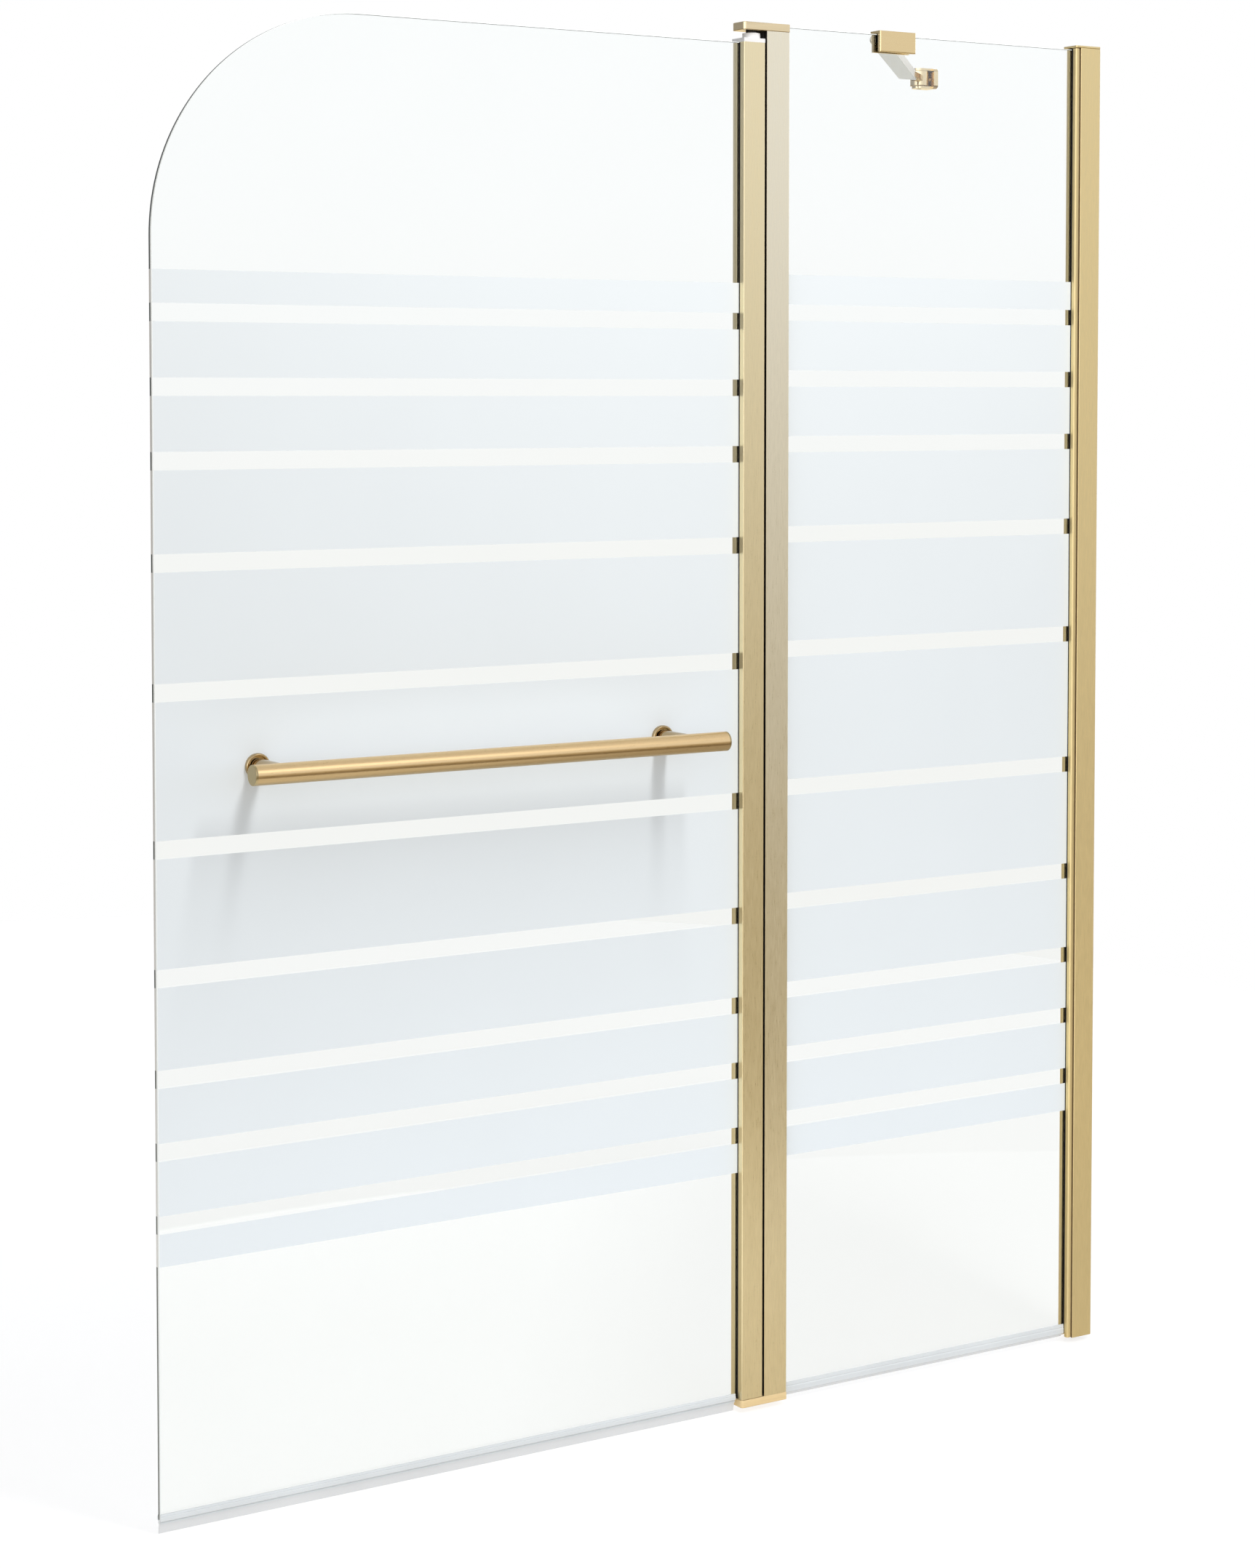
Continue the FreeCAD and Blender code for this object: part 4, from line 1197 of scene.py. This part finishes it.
def make_lights():
    """A key light above the door, and a light that shows only as a reflection in the towel bar."""
    stage = settings("stage")
    soft_light("key_light", place=Vector((-0.38, -1.3, 2.1)), target=Vector((-0.6, 0, 0)),
               width=0.2, height=1.7, power=stage.key_power, mirrored=False)
    bar_light = soft_light("bar_light", place=Vector((-0.15, -1.45, 1.1)), target=Vector((-0.9, 0, 0)),
                           width=0.8, height=0.8, power=stage.bar_power, mirrored=True)
    lit = bpy.data.collections.new("lit_by_bar_light")
    for piece in bpy.context.scene.objects:
        if piece.name.startswith(("towel", "rosette")):
            lit.objects.link(piece)
    bar_light.light_linking.receiver_collection = lit


def side_panels(tree, direction):
    """Surroundings that are brighter on the near left and far right, and darker on the far left."""
    stage = settings("stage")
    sideways = reckoned(tree, "POWER", reach(tree, direction, NEAR_LEFT), 4)
    bright = spread(tree, sideways, (0.0, 1.0), (1.0, 1 + stage.side_light))
    dark = spread(tree, reach(tree, direction, FAR_LEFT), (0.4, 0.85), (1.0, stage.far_left))
    return reckoned(tree, "MULTIPLY", bright, dark)


def make_surroundings():
    """White behind the object; for light and reflections, bright above and dim near the horizon."""
    world = bpy.data.worlds.new("studio")
    bpy.context.scene.world = world
    world.use_nodes = True
    tree = world.node_tree
    backdrop = tree.nodes["Background"]
    feed_inputs(tree, backdrop, Color=(1, 1, 1))
    direction = tree.nodes.new("ShaderNodeTexCoord").outputs["Generated"]
    ramp = tree.nodes.new("ShaderNodeValToRGB")
    stops = ramp.color_ramp.elements
    while len(stops) < len(SURROUNDINGS):
        stops.new(0.5)
    for stop, (position, colour) in zip(stops, SURROUNDINGS):
        stop.position = position
        stop.color = (*colour, 1.0)
    feed_inputs(tree, ramp, Fac=spread(tree, reach(tree, direction, ALONG_Z), (-1.0, 1.0)))
    path = tree.nodes.new("ShaderNodeLightPath").outputs
    fill = spread(tree, path["Is Glossy Ray"], (0.0, 1.0), (settings("stage").fill, 1.0))
    room = tree.nodes.new("ShaderNodeBackground")
    feed_inputs(tree, room, Color=ramp.outputs["Color"],
                Strength=reckoned(tree, "MULTIPLY", fill, side_panels(tree, direction)))
    seen = reckoned(tree, "MAXIMUM", path["Is Camera Ray"], path["Is Transmission Ray"])
    unmirrored = spread(tree, path["Glossy Depth"], (0.0, 1.0), (1.0, 0.0))
    mix = tree.nodes.new("ShaderNodeMixShader")
    feed(tree, mix.inputs["Fac"], reckoned(tree, "MULTIPLY", seen, unmirrored))
    feed(tree, mix.inputs[1], room.outputs["Background"])
    feed(tree, mix.inputs[2], backdrop.outputs["Background"])
    feed(tree, tree.nodes["World Output"].inputs["Surface"], mix.outputs["Shader"])


def make_camera():
    """Camera at the photograph's place."""
    stage = settings("stage")
    data = bpy.data.cameras.new("camera")
    data.sensor_width = 36
    data.lens = stage.camera_lens
    data.shift_y = stage.camera_shift
    data.clip_end = 100
    camera = bpy.data.objects.new("camera", data)
    camera.location = stage.camera_place
    camera.rotation_euler = (math.pi / 2 - stage.camera_tilt, 0, -stage.camera_turn)
    bpy.context.scene.collection.objects.link(camera)
    bpy.context.scene.camera = camera


class BATHSCREEN_OT_stage(bpy.types.Operator):
    """Make the floor, the lights and the camera"""

    bl_idname = "bath_screen.stage"
    bl_label = "Stage"

    def execute(self, context):
        make_floor()
        make_lights()
        make_surroundings()
        make_camera()
        context.scene.view_settings.view_transform = "Standard"
        return {"FINISHED"}


OPERATORS = (BATHSCREEN_OT_profiles, BATHSCREEN_OT_caps, BATHSCREEN_OT_panes, BATHSCREEN_OT_gaskets,
             BATHSCREEN_OT_seals, BATHSCREEN_OT_pivots, BATHSCREEN_OT_towel_bar, BATHSCREEN_OT_arm,
             BATHSCREEN_OT_stage)
SETTING_GROUPS = {"glass": GlassSettings, "metal": MetalSettings, "soft": SoftSettings,
                  "fitting": FittingSettings, "stage": StageSettings}


class BATHSCREEN_PT_panel(bpy.types.Panel):
    """Steps and settings of the bath screen"""

    bl_idname = "BATHSCREEN_PT_panel"
    bl_label = "Bath Screen"
    bl_space_type = "VIEW_3D"
    bl_region_type = "UI"
    bl_category = "Bath Screen"

    def draw(self, context):
        for operator in OPERATORS:
            self.layout.operator(operator.bl_idname)
        for name, group in SETTING_GROUPS.items():
            box = self.layout.box()
            box.label(text=name.title())
            for prop in group.__annotations__:
                box.prop(settings(name), prop)


def register():
    for cls in (*SETTING_GROUPS.values(), *OPERATORS, BATHSCREEN_PT_panel):
        bpy.utils.register_class(cls)
    for name, group in SETTING_GROUPS.items():
        setattr(bpy.types.Scene, "bath_screen_" + name, PointerProperty(type=group))


def unregister():
    for name in SETTING_GROUPS:
        delattr(bpy.types.Scene, "bath_screen_" + name)
    for cls in (BATHSCREEN_PT_panel, *reversed(OPERATORS), *reversed(SETTING_GROUPS.values())):
        bpy.utils.unregister_class(cls)


def main():
    register()
    bpy.ops.bath_screen.profiles()
    bpy.ops.bath_screen.caps()
    bpy.ops.bath_screen.panes()
    bpy.ops.bath_screen.gaskets()
    bpy.ops.bath_screen.seals()
    bpy.ops.bath_screen.pivots()
    bpy.ops.bath_screen.towel_bar()
    bpy.ops.bath_screen.arm()
    bpy.ops.bath_screen.stage()


if __name__ == "__main__":
    main()
